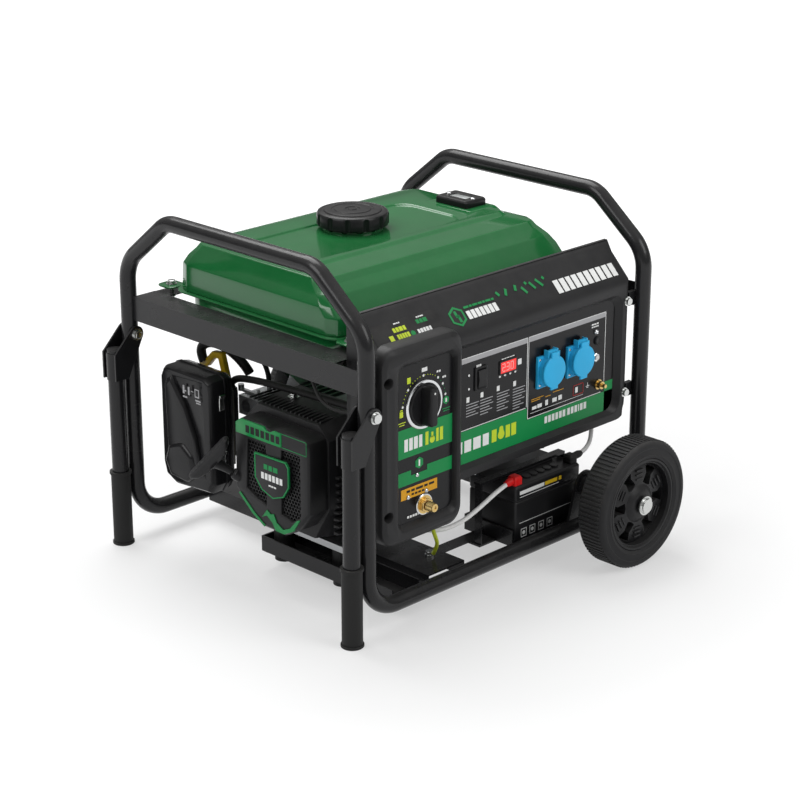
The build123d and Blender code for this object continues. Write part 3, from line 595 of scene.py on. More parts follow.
# ---- Main panel ----
# A black film overlay on a flat plate: two outlined fields with grey header strips, a green band
# below, a red meter window, short rows of bars in place of wording, and plain pictogram blocks.
panel_film = finish("panel_film", (0.006, 0.006, 0.007), 0.22, grain=1100, depth=0.000015, dust=0.03)
cover(panel_film, "main_panel", "selector_panel")
print_on("panel_headers", ink_grey, [(-105, 60, 363.5, 370.8), (64, 240.5, 363.5, 370.8)], 250.05)
outline = [
    (-105, 61, 370.8, 371.8), (60.4, 61.6, 262, 371), (-105, 59, 260.4, 261.5), (64, 241.5, 370.8, 371.8),
    (63.4, 64.5, 242.5, 371), (240.5, 241.6, 258, 371), (64, 234, 241.8, 242.9), (70, 192, 249, 249.6),
]
print_on("panel_outlines", ink_white, outline, 250.05)
print_on(
    "panel_green_band", ink_green,
    [(-110, 62.5, 208.5, 259.5), (62.5, 262, 208.5, 241), (242.5, 262, 208.5, 257)], 250.0, raised=0.2
)
white_bars = bars(-93, -21.5, 225.5, 244, (1, 1, 1.1, 0.9), 4.5) + bars(
    103, 200, 224.5, 235.5, (1, 1, 1, 1, 1, 1, 0.01, 1, 1, 1, 0.4, 1, 1), 2.4
)
print_on("panel_white_blocks", ink_white, white_bars, 250.2)
drop = layered("drop", 24, [(7.2, 250.3), (7.2, 250.6)], turn=upright)
edit(drop, "VERT", lambda at, _: at.z > 6.2)
bpy.ops.transform.translate(value=(0, 0, 0.0062))
close()
settle(drop, at=(5.5, 0, 233.5))
place_on(drop, "frame", ink_lime, "panel_black")
print_on(
    "panel_lime_blocks", ink_lime,
    [(-15, -4.5, 225.5, 245), (15.5, 25, 225.5, 245), (28, 38.5, 225.5, 245)], 250.2
)
notes = []
for x, left, rows in ((-71, 310, 5), (-41, 310, 6), (-5, 311, 7), (30, 309, 8)):
    for row in range(rows):
        length = (27, 24, 28, 20, 26, 17, 24, 15)[row]
        z = left - 12 - row * 4.4
        notes.append((x, x + length, z, z + 1.3))
print_on("panel_note_lines", ink_grey, notes, 250.1)
marks = [(x, x + 6, z - 7, z + 1) for x, z in ((-70.5, 309.5), (-40.5, 310), (-5.5, 311), (30.5, 309.5))]
marks += bars(-50, -40, 352, 355.5, (1, 1, 1), 0.8) + [(-65.5, 343.5, 1.8), (-65.5, 322.5, 1.8)]
marks += [
    (x, 325.6, 2.1) for x in (1, 12, 23.5, 34.5)
] + [(40, 48, 334, 343)] + bars(4, 32, 350.5, 352, (1, 1, 1, 1, 1), 1.2)
marks += [
    (74, 84, 254, 259), (86, 96, 254, 260), (104, 110, 253.5, 262), (120, 130, 254.5, 261),
    (134, 142, 254.5, 262), (173, 179, 256, 265)
]
marks += bars(208, 224, 356, 358.4, (1, 1, 1), 1) + bars(208, 224, 352, 354.2, (1, 1, 1, 1), 1) + [
    (198, 206, 260, 261), (201.5, 202.5, 261, 266), (199.5, 204.5, 257.5, 258.5)
]
print_on("panel_white_marks", ink_white, marks, 250.15)
ink_red = finish("ink_red", (0.42, 0.010, 0.008), 0.35, grain=1500, depth=0.00001, edge=0.0003)
print_on(
    "panel_red_frame", ink_red,
    [(168, 192, 252, 252.8), (168, 192, 268, 268.8), (168, 168.8, 252, 268.8), (191.2, 192, 252, 268.8)],
    250.15
)
ink_amber = finish("ink_amber", (0.62, 0.30, 0.010), 0.38, grain=1500, depth=0.00001, edge=0.0003)
print_on(
    "panel_amber_lines", ink_amber,
    [(72, 100, 270, 271), (72, 92, 267, 268), (103, 116, 267, 268), (121, 145, 270, 271)], 250.15
)

bezel = layered(
    "meter_bezel", 4,
    [
        (-1, 38, 327, 349, 250), (-1, 38, 327, 349, 251.6), (0.5, 36.5, 328.5, 347.5, 252),
        (2, 35, 329.5, 346.5, 251.2)
    ],
    turn=upright, corner=2
)
place_on(bezel, "frame", charcoal, "gloss_black")
meter_red_painted_glow = finish(
    "meter_red_painted_glow", (0.80, 0.012, 0.010), 0.12, coat=0.6, grain=400, depth=0.00001, edge=0.0002, dust=0.02
)
# The red window also emits a faint red light of its own: a painted glow that brightens it, though the meter is no lamp.
meter_red_painted_glow.node_tree.nodes["Principled BSDF"].inputs["Emission Color"].default_value = (1, 0.02, 0.015, 1)
meter_red_painted_glow.node_tree.nodes["Principled BSDF"].inputs["Emission Strength"].default_value = 0.35
window = layered(
    "meter_window", 4, [(2, 35, 329.5, 346.5, 251), (2, 35, 329.5, 346.5, 251.4)], turn=upright
)
place_on(window, "frame", meter_red_painted_glow, "panel_black")
segments = []
for x, shown in ((5, "abged"), (14, "abgcd"), (23, "abcdef")):
    sizes = {
        "a": (x, x + 6, 343, 344.2), "g": (x, x + 6, 337.4, 338.6), "d": (x, x + 6, 331.8, 333), "b": (x + 5, x + 6.2, 338, 344),
        "c": (x + 5, x + 6.2, 332, 338), "e": (x - 0.2, x + 1, 332, 338), "f": (x - 0.2, x + 1, 338, 344),
    }
    segments += [sizes[letter] for letter in shown]
ink_pale = finish("meter_digits", (0.95, 0.45, 0.42), 0.3, grain=1500, depth=0.00001, edge=0.0003)
print_on("meter_digits", ink_pale, segments, 251.35, raised=0.15)

frame_of_rocker = layered(
    "rocker_bezel", 4,
    [
        (-54, -28, 316, 352, 250), (-54, -28, 316, 352, 252.2), (-52, -30, 318, 350, 253),
        (-50.3, -31.7, 319, 349, 252.4), (-50.3, -31.7, 319, 349, 249)
    ],
    turn=upright, corner=2,
)
place_on(frame_of_rocker, "frame", charcoal, "gloss_black")
cover(charcoal, "rocker_switch")
lamp = layered(
    "status_lamp", 32, [(4.2, 250), (4.2, 252), (3.6, 252.8), (2.9, 252.2), (2.9, 253), (1.6, 254)],
    at=(218, 0, 344.5), turn=upright
)
bright_chrome = finish(
    "bright_chrome", (0.62, 0.63, 0.64), 0.16, metal=1.0, grain=500, depth=0.00001, edge=0.0005, dust=0.06
)
place_on(lamp, "frame", bright_chrome, "zinc")
plug = layered(
    "blank_plug", 32, [(6.5, 250), (6.5, 252.5), (5.2, 253.4), (4.0, 252.8)], at=(222, 0, 329), turn=upright
)
place_on(plug, "frame", charcoal, "gloss_black")
nut = layered(
    "breaker_nut", 6, [(7.4, 250), (7.4, 252.2), (6.4, 252.8), (4.4, 252.8), (4.4, 250)], at=(219, 0, 303),
    turn=upright
)
place_on(nut, "frame", bright_chrome, "zinc")
button_white = finish("button_white", (0.60, 0.60, 0.58), 0.32, grain=800, depth=0.00002)
cover(button_white, "breaker_button")


# ---- Fuel selector panel and dial ----
# The same black film in the module's window: a silver ring, tick marks and dots round a moulded
# black knob with a bar grip, green bands, an amber strip and the brass gas inlet with its washer.
dial_at = (-171, 0, 330)
print_on(
    "selector_green_bands", ink_green,
    [(-227, -113, 258, 302), (-227, -197, 216, 237), (-164, -113, 216, 237), (-197, -164, 216, 229)], 262.05
)
print_on(
    "selector_white_blocks", ink_white, bars(-210.5, -174.5, 267.5, 286, (1, 1, 1.1, 0.9), 2.4), 262.25
)
lime_blocks = [
    (-168, -162, 267, 287), (-146, -141, 267, 287), (-138.5, -132, 267, 287), (-154, 272.5, 5.2),
    (-156, -152, 276, 284)
]
print_on("selector_lime_blocks", ink_lime, lime_blocks, 262.25)
ring = layered(
    "silver_ring", 64, [(36.5, 262), (36.5, 263), (35.6, 264), (32.2, 264), (31.4, 263.2), (31.4, 262)],
    at=dial_at, turn=upright
)
place_on(ring, "frame", bright_chrome, "zinc")
ticks_lime, ticks_green, ticks_white = [], [], []
for step in range(25):
    angle = radians(170 - step * 6.9)
    spot = (dial_at[0] + 43.5 * cos(angle), dial_at[2] + 43.5 * sin(angle), 0.75)
    (ticks_lime if step < 17 else ticks_green).append(spot)
for degrees in (172, 138, 92, 50, 30, 6):
    angle = radians(degrees)
    ticks_white.append((dial_at[0] + 43.5 * cos(angle), dial_at[2] + 43.5 * sin(angle), 1.9))
ticks_lime += [
    (-220, -213, 321, 330), (-219, -214, 331, 332.6), (-205, -198, 368, 377), (-223, -208, 312, 313.4),
    (-221, -210, 308.5, 309.8)
]
ticks_white += [(-176, -165, 379, 385)] + bars(
    -146, -138, 371, 374, (1, 1), 1
) + bars(-134, -127, 360, 363, (1, 1), 1)
print_on("selector_lime_ticks", ink_lime, ticks_lime, 262.1)
print_on(
    "selector_green_ticks", ink_green,
    ticks_green + [(-126, 325, 6.5, 6), (-134, -118, 312, 313.4), (-132, -119, 308.5, 309.8)], 262.1
)
print_on("selector_white_ticks", ink_white, ticks_white + [(-127.5, -124.5, 322, 328)], 262.35)
print_on("gas_badge", ink_green, [(-180.5, 244, 9, 6)], 262.3)
badge_marks = [(-182, -179, 239, 249)] + bars(-205, -163, 164.5, 168, (1, 1, 1, 1, 1, 1, 1, 1), 1.4)
print_on("gas_badge_marks", ink_white, badge_marks, 262.5)
print_on("amber_strip", ink_amber, [(-217, -143.5, 194.5, 211)], 262.1)
print_on(
    "amber_strip_lines", ink_dark,
    bars(-206, -150, 204, 207.5, (1, 1, 2, 1, 1.5), 2.5) + bars(-196, -170, 198, 201, (1, 1, 1, 1), 2),
    262.3
)

knob = layered(
    "dial_knob", 64, [
        (31, 262.2), (31, 265.5), (29.8, 267), (28, 267), (25, 265.2)
    ], at=dial_at, turn=upright,
)
grip = layered(
    "dial_grip", 4, [
        (-10, 10, -29.5, 29.5, 263), (-9.6, 9.6, -29, 29, 270), (-7, 7, -29, 29, 282),
        (-5.6, 5.6, -27.5, 27.5, 284)
    ],
    at=dial_at, turn=upright, corner=5, steps=5,
)
soften(grip, 1.2, 3)
shaft = layered("dial_shaft", 24, [(4, 240), (4, 264)], at=dial_at, turn=upright)
knob = weld("fuel_dial", knob, grip, shaft)
dial_black = finish("dial_black", (0.010, 0.010, 0.011), 0.30, grain=900, depth=0.00003, dust=0.03)
place_on(knob, "selector_dial", dial_black, "gloss_black", "selector_dial", angle=35)
pointer = layered("dial_pointer", 20, [(1.6, 283.8), (1.6, 284.3)], at=(-171, 0, 351), turn=upright)
place_on(pointer, "selector_dial", ink_white, "panel_black")


def pan_screw(name, radius, height, at, turn, body="frame"):
    """A domed screw head with a crossed recess."""
    head = layered(
        name, 28, [
            (radius, 0), (radius, 0.25 * height), (0.86 * radius, 0.7 * height), (0.55 * radius, height)
        ], at=at, turn=turn,
    )
    for flip in (0, 1):
        long, thin = 0.42 * radius, 0.11 * radius
        size = (-long, long, -thin, thin) if flip else (-thin, thin, -long, long)
        slot = layered("slot", 4, [size + (0.5 * height,), size + (2 * height,)], at=at, turn=turn)
        cut(head, slot)
    return place_on(head, body, bright_chrome, "zinc")


for index, (x, z) in enumerate(((-185, 226.5), (-203, 197), (-166, 197))):
    pan_screw(f"selector_screw_{index}", 3.6, 2.4, (x, -262.1, z), upright)
brass = finish(
    "brass", (0.62, 0.44, 0.17), 0.28, metal=1.0, grain=700, depth=0.00002, worn=(0.80, 0.66, 0.36),
    dust=0.06
)
cover(brass, "gas_inlet_fitting", "earth_terminal")
washer = layered(
    "inlet_washer", 48, [(16.5, 262), (16.5, 263), (15.5, 263.6), (11, 263.6), (9.5, 262)],
    at=(-170, 0, 177), turn=upright
)
place_on(washer, "frame", bright_chrome, "zinc")
barbs = []
for step in range(3):
    barb = layered(
        "barb", 40, [(6.05, 271 + 4 * step), (7.4, 271.6 + 4 * step), (6.05, 274.6 + 4 * step)],
        at=(-170, 0, 177), turn=upright
    )
    barbs.append(barb)
nut = layered(
    "inlet_nut", 6, [(10.6, 263.6), (11.4, 264.6), (11.4, 269.4), (10.6, 270.4), (6, 270.4)],
    at=(-170, 0, 177), turn=upright
)
place_on(weld("inlet_barbs", nut, *barbs), "frame", brass, "brass")


# ---- Mains sockets and lids ----
# Blue glass-filled nylon: a square flange with a screw in each corner, a round well with two
# contact holes, and a sprung round lid whose neck turns on a pin above.
socket_blue = finish(
    "socket_blue", (0.022, 0.40, 0.72), 0.34, grain=800, depth=0.00004, worn=(0.10, 0.50, 0.78), dust=0.03
)
cover(socket_blue, "socket_bodies")
for index, x in enumerate((106, 174)):
    side = ("left", "right")[index]
    for corner, (dx, dz) in enumerate(((-20, -20), (20, -20), (-20, 20), (20, 20))):
        pan_screw(f"socket_{side}_screw_{corner}", 2.3, 1.2, (x + dx, -254, 311 + dz), upright)
    lid = layered(
        "lid", 56, [
            (23.5, 262.5), (24.6, 263.3), (24.6, 265.6), (23.6, 266.6), (20, 267), (12, 267.3)
        ], at=(x, 0, 311), turn=upright,
    )
    neck = layered(
        "neck", 4, [(-7.8, 7.8, 14, 31, 262.8), (-7.8, 7.8, 14, 31, 266.4), (-7, 7, 14, 30.2, 267)],
        at=(x, 0, 311), turn=upright
    )
    knuckle = layered(
        "knuckle", 28, [(3.6, -7.8), (4, -7.4), (4, 7.4), (3.6, 7.8)], at=(x, -259, 341),
        turn=(0, radians(90), 0)
    )
    cut(
        knuckle,
        layered("pin_hole", 28, [(1.56, -10), (1.56, 10)], at=(x, -259, 341), turn=(0, radians(90), 0))
    )
    lip = layered(
        "lip", 4, [(-8, 8, -28, -18, 263.4), (-8, 8, -28, -18, 266), (-7, 7, -27.2, -18, 266.6)],
        at=(x, 0, 311), turn=upright
    )
    for piece in (neck, lip):
        soften(piece, 0.7, 2)
    lid = weld(f"socket_lid_{side}", lid, neck, knuckle, lip)
    place_on(lid, f"{side}_socket_lid", socket_blue, "socket_blue", f"{side}_socket_lid", angle=35)


# ---- Fuel cap, gauge and tank bolts ----
# Black moulded cap with finger flutes and stepped rings on top, over a green neck ring with
# notches. The gauge is a black block with a clear window, held by two screws.
cap_black = finish("cap_black", (0.010, 0.010, 0.011), 0.30, grain=700, depth=0.00004, dust=0.06)
cap = layered(
    "filler_cap", 96,
    [(50, 493.6), (54.5, 494), (56, 495.5), (56, 511), (54, 514.5), (50, 516), (49, 515.2), (45, 515.2), (44, 517), (33, 517.6),
     (32, 516.6), (29, 516.6), (28, 517.8), (12, 518), (11, 516.6), (7, 516.6), (6, 518)],
    at=(12, 71, 0),
)
for step in range(12):
    angle = radians(step * 30 + 8)
    flute = layered(
        "flute", 20, [(7.5, 490), (7.5, 512), (3, 519)], at=(
            12 + 61.2 * cos(angle), 71 + 61.2 * sin(angle), 0
        ),
    )
    cut(cap, flute)
soften(cap, 0.6, 2, 35)
plug = layered("cap_plug", 48, [(24, 487), (24, 494)], at=(12, 71, 0))
cap = weld("filler_cap", cap, plug)
place_on(cap, "fuel_cap", cap_black, "gloss_black", "fuel_cap", angle=35)
collar = layered("neck_collar", 96, [(47, 486.5), (47, 489), (45.5, 493.2), (30, 493.2)], at=(12, 71, 0))
for step in range(12):
    angle = radians(step * 30)
    notch = layered(
        "notch", 4, [(-4.5, 4.5, -4, 4, 489.2), (-4.5, 4.5, -4, 4, 495)],
        at=(12 + 47 * cos(angle), 71 + 47 * sin(angle), 0), turn=(0, 0, angle)
    )
    cut(collar, notch)
soften(collar, 0.5, 2, 30)
place_on(collar, "frame", enamel, "tank_green")

gauge = layered(
    "level_gauge", 4, [
        (202, 250, 10, 78, 491.4), (202, 250, 10, 78, 500), (204, 248, 12, 76, 503)
    ], corner=4, steps=4,
)
well = layered("well", 4, [(217, 235, 26, 62, 501), (216, 236, 25, 63, 505)])
cut(gauge, well)
soften(gauge, 0.8, 2)
place_on(gauge, "frame", cap_black, "gloss_black", "fuel_gauge")
clear_lens = bpy.data.materials.new("gauge_lens")
clear_lens.use_nodes = True
lens_shader = clear_lens.node_tree.nodes["Principled BSDF"]
lens_shader.inputs["Roughness"].default_value = 0.06
lens_shader.inputs["Coat Weight"].default_value = 0.8
haze = clear_lens.node_tree.nodes.new("ShaderNodeTexNoise")
haze.inputs["Scale"].default_value = 40
haze_place = clear_lens.node_tree.nodes.new("ShaderNodeTexCoord")
haze_ramp = clear_lens.node_tree.nodes.new("ShaderNodeValToRGB")
haze_ramp.color_ramp.elements[0].color = (0.30, 0.32, 0.32, 1)
haze_ramp.color_ramp.elements[1].color = (0.55, 0.57, 0.56, 1)
join(
    clear_lens.node_tree, (
        haze_place.outputs["Object"], haze.inputs["Vector"]
    ), (haze.outputs["Fac"], haze_ramp.inputs["Fac"]),
    (haze_ramp.outputs["Color"], lens_shader.inputs["Base Color"]),
)
lens = layered(
    "gauge_lens", 4, [(217, 235, 26, 62, 500.8), (217, 235, 26, 62, 501.6), (218, 234, 27, 61, 502)]
)
place_on(lens, "frame", clear_lens, "panel_black")
for index, y in enumerate((18, 70)):
    pan_screw(f"gauge_screw_{index}", 4.2, 2.2, (226, y, 503), (0, 0, 0))


def hex_bolt(name, radius, height, at, turn, material, washer=1.35, body="frame"):
    """A hexagon head with a chamfered crown on a flat washer."""
    head = layered(
        "head", 6, [
            (radius, 1.4), (radius, 0.86 * height + 1.4), (0.82 * radius, height + 1.4)
        ], at=at, turn=turn,
    )
    soften(head, 0.4, 2, 20)
    ring = layered(
        "washer", 36, [(washer * radius, 0), (washer * radius, 1.2), (0.7 * radius, 1.4)], at=at, turn=turn
    )
    return place_on(weld(name, head, ring), body, material, "zinc")


zinc = finish(
    "zinc_plate", (0.58, 0.59, 0.58), 0.24, metal=1.0, grain=500, cell=1.0, depth=0.00002,
    worn=(0.75, 0.75, 0.74), dust=0.06
)
cover(zinc, "flange_bolts", "handle_pivot_bolts", "axle_bolts")
for index, (x, y) in enumerate(((-222, -166), (-222, 229), (256.9, -166), (256.9, 229))):
    hex_bolt(f"tank_bolt_{index}", 6.4, 5, (x, y, 413), (0, 0, index), zinc)


# ---- Recoil starter cover ----
# Black glass-filled nylon shell with two honeycomb windows for cooling air, a central badge, a
# green top band and a green curved strip at its foot.
facing_end = (radians(90), 0, radians(-90))


def shaped(name, points, rings, turn=facing_end):
    """A plate with the given outline (mm); each ring is (scale, height)."""
    clear()
    bpy.ops.mesh.primitive_circle_add(vertices=len(points), radius=1, fill_type="NGON", location=(0, 0, 0))
    ob = bpy.context.object
    ob.name = name
    for corner, point in zip(ob.data.vertices, points):
        corner.co = (point[0] / 1000, point[1] / 1000, rings[0][1] / 1000)
    middle = sum((Vector(p) for p in points), Vector((0, 0))) / len(points) / 1000
    bpy.ops.object.mode_set(mode="EDIT")
    bpy.ops.mesh.select_all(action="SELECT")
    first = rings[0][0]
    bpy.ops.transform.resize(
        value=(first, first, 1), center_override=(middle[0], middle[1], rings[0][1] / 1000)
    )
    for before, ring in zip(rings, rings[1:]):
        bpy.ops.mesh.extrude_region_move(
            TRANSFORM_OT_translate={"value": (0, 0, (ring[1] - before[1]) / 1000)}
        )
        grow = ring[0] / before[0]
        bpy.ops.transform.resize(
            value=(grow, grow, 1), center_override=(middle[0], middle[1], ring[1] / 1000)
        )
    bpy.ops.mesh.select_all(action="SELECT")
    bpy.ops.mesh.normals_make_consistent(inside=False)
    close()
    settle(ob, turn=turn)
    return ob


nylon_black = finish("nylon_black", (0.013, 0.013, 0.014), 0.36, grain=600, depth=0.00007, dust=0.05)
cover_points = [
    (-8, 268), (40, 268), (47, 264), (56, 264), (64, 268), (124, 267), (134, 262), (137, 252), (137, 152), (112, 121), (82, 104),
    (36, 104), (2, 126), (-27, 152), (-27, 248), (-22, 260),
]
shell = shaped("shell", cover_points, [(1.0, 232), (1.0, 268), (0.985, 275), (0.95, 278)])
rear_window = [(3, 237), (43, 237), (43, 141), (20, 147), (-1, 158)]
front_window = [(77, 238), (117, 238), (117, 144), (98, 132), (75, 137)]
for points in (rear_window, front_window):
    opening = shaped("opening", points, [(1.0, 255), (1.0, 276), (1.05, 280)])
    cut(shell, opening)
hollow = shaped(
    "hollow", [(-18, 244), (122, 244), (122, 156), (88, 118), (30, 118), (-14, 156)],
    [(1.0, 225), (1.0, 266)]
)
cut(shell, hollow)
soften(shell, 0.9, 2, 30)
place_on(shell, "frame", nylon_black, "engine_plastic", "recoil_cover", angle=35)

cell = layered("cell", 6, [(3.6, 271), (3.6, 274), (2.9, 274), (2.9, 271)])
edit(cell, "FACE", lambda at, normal: at.z < 271.5)
bpy.ops.mesh.delete(type="FACE")
close()
modify(
    cell, "ARRAY", count=8, use_relative_offset=False, use_constant_offset=True,
    constant_offset_displace=(0.00624, 0, 0)
)
second = cell.copy()
second.data = cell.data.copy()
bpy.context.collection.objects.link(second)
settle(second, at=(3.12, 5.4, 0))
pair = weld("cells", cell, second)
modify(
    pair, "ARRAY", count=11, use_relative_offset=False, use_constant_offset=True,
    constant_offset_displace=(0, 0.0108, 0)
)
grilles = []
for start in (-4, 72):
    grille = pair.copy()
    grille.data = pair.data.copy()
    bpy.context.collection.objects.link(grille)
    settle(grille, at=(start, 129, 0))
    if start < 0:
        edit(grille, "VERT", lambda at, _: at.y - 146 < -0.75 * (at.x + 20))
    else:
        edit(grille, "VERT", lambda at, _: at.y - 150 < 0.9 * (at.x - 138))
    bpy.ops.mesh.delete(type="VERT")
    close()
    settle(grille, turn=facing_end)
    grilles.append(grille)
bpy.data.objects.remove(pair, do_unlink=True)
place_on(weld("honeycomb_grilles", *grilles), "frame", nylon_black, "engine_plastic", angle=30)
# A flat dark sheet just behind the honeycomb windows: painted shade standing in for the shadowed inside of the cover.
shade_backing = shaped(
    "grille_painted_shade", [(-14, 242), (122, 242), (122, 156), (88, 120), (30, 120), (-12, 156)],
    [(1.0, 266.2), (1.0, 267)]
)
place_on(shade_backing, "frame", ink_dark, "engine_plastic")

band = shaped(
    "band",
    [(-21, 242), (-21, 258), (-9, 266), (41, 266), (48, 261), (56, 261), (64, 265.5), (78, 265), (78, 243)],
    [(1.0, 276), (1.0, 279), (0.98, 279.6)]
)
arc_points = [
    (45, 136), (52, 131), (60, 133), (66, 121), (80, 114), (96, 121), (111, 138), (117, 140), (102, 118), (82, 107.5), (64, 108), (56, 119),
    (44, 127), (34, 122),
]
arc = shaped("arc", arc_points, [(1.0, 275), (1.0, 279), (0.98, 279.5)])
edging = shaped(
    "edging", [(-18, 146), (-14, 148), (16, 124), (40, 110), (38, 107), (12, 121)], [(1.0, 275), (1.0, 279)]
)
bright_green = finish(
    "bright_green", (0.005, 0.205, 0.050), 0.30, coat=0.12, grain=700, depth=0.00004, edge=0.0006, dust=0.04
)
place_on(weld("cover_green_trim", band, arc, edging), "frame", bright_green, "tank_green", angle=35)
print_on(
    "band_outline", ink_green, [
        (78, 132, 243, 244), (78, 132, 264, 265), (131.2, 132.2, 243, 265), (78, 79, 243, 265)
    ], 278.1, turn=facing_end,
)
letters = bars(2, 76, 247.5, 259, (1, 1, 1, 1, 1, 1, 1), 3)
print_on("band_marks", ink_dark, letters, 279.7, turn=facing_end)
badge_points = [(24, 221), (90, 223), (96, 216), (96, 186), (84, 168), (62, 160), (38, 168), (24, 184)]
badge = shaped("cover_badge", badge_points, [(1.0, 270), (1.0, 281), (0.96, 282.5)])
soften(badge, 0.8, 2)
place_on(badge, "frame", dial_black, "gloss_black")
badge_rim = shaped("badge_rim", badge_points, [(1.03, 279), (1.03, 282.2)])
middle = shaped("middle", badge_points, [(0.97, 277), (0.97, 285)])
cut(badge_rim, middle)
place_on(badge_rim, "frame", ink_green, "tank_green")
print_on(
    "badge_white_marks", ink_white,
    bars(38, 84, 186, 196, (1, 1, 1, 1, 1, 1), 2.2) + bars(54, 70, 177, 179.5, (1, 1, 1), 1.2), 282.6,
    turn=facing_end
)
print_on("badge_green_marks", ink_green, bars(44, 74, 202, 210, (1, 1, 1.2), 2), 282.6, turn=facing_end)


# ---- Fan shroud ----
# Pressed steel in black paint behind the cover: a sloping ribbed top, louvres and a pocket on
# the control side, and zinc bolts.
shroud_points = [
    (-40, 150), (-40, 262), (-18, 284), (124, 284), (146, 262), (146, 150), (112, 92), (16, 92)
]
shroud = shaped("shroud", shroud_points, [(1.0, 152), (1.0, 205), (0.985, 214), (0.94, 242)])
pocket = layered(
    "pocket", 4, [(-232, -192, 228, 262, 152), (-230, -194, 230, 260, 139)], turn=upright, corner=4
)
cut(shroud, pocket)
soften(shroud, 2.5, 3, 20)
ribs = []
for step in range(18):
    y = 34 - step * 9
    rib = layered(
        "rib", 4, [(-1.6, 1.6, -33, 33, 0), (-1.1, 1.1, -32, 32, 2.8)], at=(-206, y, 281),
        turn=(0, 0, radians(90))
    )
    ribs.append(rib)
for step in range(9):
    z = 110 + step * 11
    louvre = layered(
        "louvre", 4, [(-232, -158, z, z + 5, 138), (-230, -160, z + 1, z + 3, 148)], turn=upright
    )
    ribs.append(louvre)
for step in range(8):
    z = 150 + step * 12
    side = layered(
        "louvre", 4, [(158, 226, z, z + 5, 36), (160, 224, z + 1, z + 3, 43.5)],
        turn=(radians(90), 0, radians(180))
    )
    ribs.append(side)
ribs = weld("shroud_ribs", *ribs)
soften(ribs, 0.5, 2, 30)
shroud = weld("shroud_shell", shroud, ribs)
place_on(shroud, "frame", nylon_black, "engine_plastic", "fan_shroud", angle=35)
hex_bolt("shroud_bolt_top", 6.5, 5, (-196, -16, 284.5), (0, 0, 0.3), zinc)
hex_bolt("shroud_bolt_side", 6, 5, (-206, -147.5, 214), upright, zinc)
hex_bolt("shroud_bolt_rear", 6, 5, (-206, 41, 214), (radians(-90), 0, 0), zinc)


# ---- Pull grip and cord ----
# Moulded black grip: a curved bar with rounded ends on a tapering stem, on a braided cord that
# runs into the cover's guide.
guide = Vector((-278, 25, 173))
pull = Vector((-0.646, 0.495, 0.581)).normalized()
bar_way = Vector((0.143, -0.669, 0.730)).normalized()
third = pull.cross(bar_way).normalized()
grip = layered(
    "grip", 4,
    [
        (-24, 24, -9, 9, -9), (-44, 44, -10.5, 10.5, -3), (-52, 52, -9.5, 9.5, 4), (-50, 50, -6.5, 6.5, 8.5)
    ], corner=6, steps=5,
)
edit(grip, "EDGE", lambda at, along: abs(along.x) > 0.9)
bpy.ops.mesh.subdivide(number_cuts=7)
close()
soften(grip, 2.2, 3, 25)
stem_piece = layered("stem", 32, [(5.5, -36), (6.5, -24), (9, -12), (14, -7)], corner=0)
grip = weld("pull_grip", grip, stem_piece)
turned = Matrix((bar_way, third, pull)).transposed().to_euler()
settle(grip, guide + pull * 44, turned)
grip_black = finish(
    "grip_black", (0.014, 0.014, 0.015), 0.42, grain=900, cell=1.0, depth=0.00008, dust=0.04
)
place_on(grip, "recoil_grip", grip_black, "engine_plastic", "recoil_grip", angle=40)
guide_ring = layered("cord_guide", 36, [(9, -8), (9, 2), (7, 4.5), (4, 4.5), (3, 2)])
settle(guide_ring, guide, turned)
place_on(guide_ring, "frame", nylon_black, "engine_plastic")
cord_braid = finish("cord_braid", (0.03, 0.03, 0.03), 0.75, grain=1600, cell=1.6, depth=0.0002, dust=0.05)
starter_cord = layered("starter_cord", 16, [(2.2, z) for z in (2, 5, 8, 12, 16, 20, 24)])
settle(starter_cord, guide, turned)
bpy.ops.object.shade_smooth_by_angle(angle=radians(40))
starter_cord.data.materials.append(cord_braid)
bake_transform(starter_cord)


# ---- Air cleaner ----
# Two moulded black covers with a diagonal crease, a bulge low down and spring clips, standing
# on the recoil end beside the carburettor.
cleaner_points = [
    (-188, 304), (-100, 304), (-88, 298), (-86, 284), (-86, 132), (-96, 116), (-176, 110), (-198, 120),
    (-204, 140), (-204, 288), (-198, 300)
]
lid_body = shaped(
    "lid_body", cleaner_points, [(1.0, 240), (1.0, 262), (0.985, 266), (0.95, 271), (0.93, 272)]
)
soften(lid_body, 3.0, 4, 25)
wedge = shaped("wedge", [(-176, 292), (-104, 296), (-101, 140), (-112, 150)], [(0.96, 268), (1.0, 273.5)])
cut(lid_body, wedge)
facet = shaped(
    "facet", [(-178, 290), (-146, 250), (-122, 200), (-112, 152), (-150, 130), (-188, 150), (-192, 280)],
    [(1.0, 268), (0.98, 273), (0.9, 275.5)]
)
swell = shaped(
    "swell", [(-184, 178), (-150, 190), (-124, 172), (-118, 140), (-140, 124), (-180, 126), (-194, 150)],
    [(1.0, 268), (0.96, 276), (0.8, 280)]
)
soften(facet, 2, 3, 8)
soften(swell, 4, 4, 8)
soften(lid_body, 0.8, 2, 40)
lip_ring = shaped("lip_ring", cleaner_points, [(1.015, 240), (1.015, 244)])
lip_second = shaped("lip_second", cleaner_points, [(0.97, 226), (1.0, 238)])
soften(lip_ring, 0.8, 2)
soften(lip_second, 1, 2)
lid_body = weld("cleaner_lid", lid_body, facet, swell, lip_ring, lip_second)
gloss_moulding = finish("gloss_moulding", (0.009, 0.009, 0.010), 0.20, grain=500, depth=0.00004, dust=0.04)
place_on(lid_body, "frame", gloss_moulding, "gloss_black", "air_cleaner_cover", angle=40)
base = shaped("cleaner_base", cleaner_points, [(0.62, 196), (0.62, 206), (0.74, 214), (0.8, 226.5)])
soften(base, 1.5, 3)
place_on(base, "frame", gloss_moulding, "gloss_black", "air_cleaner_base", angle=40)
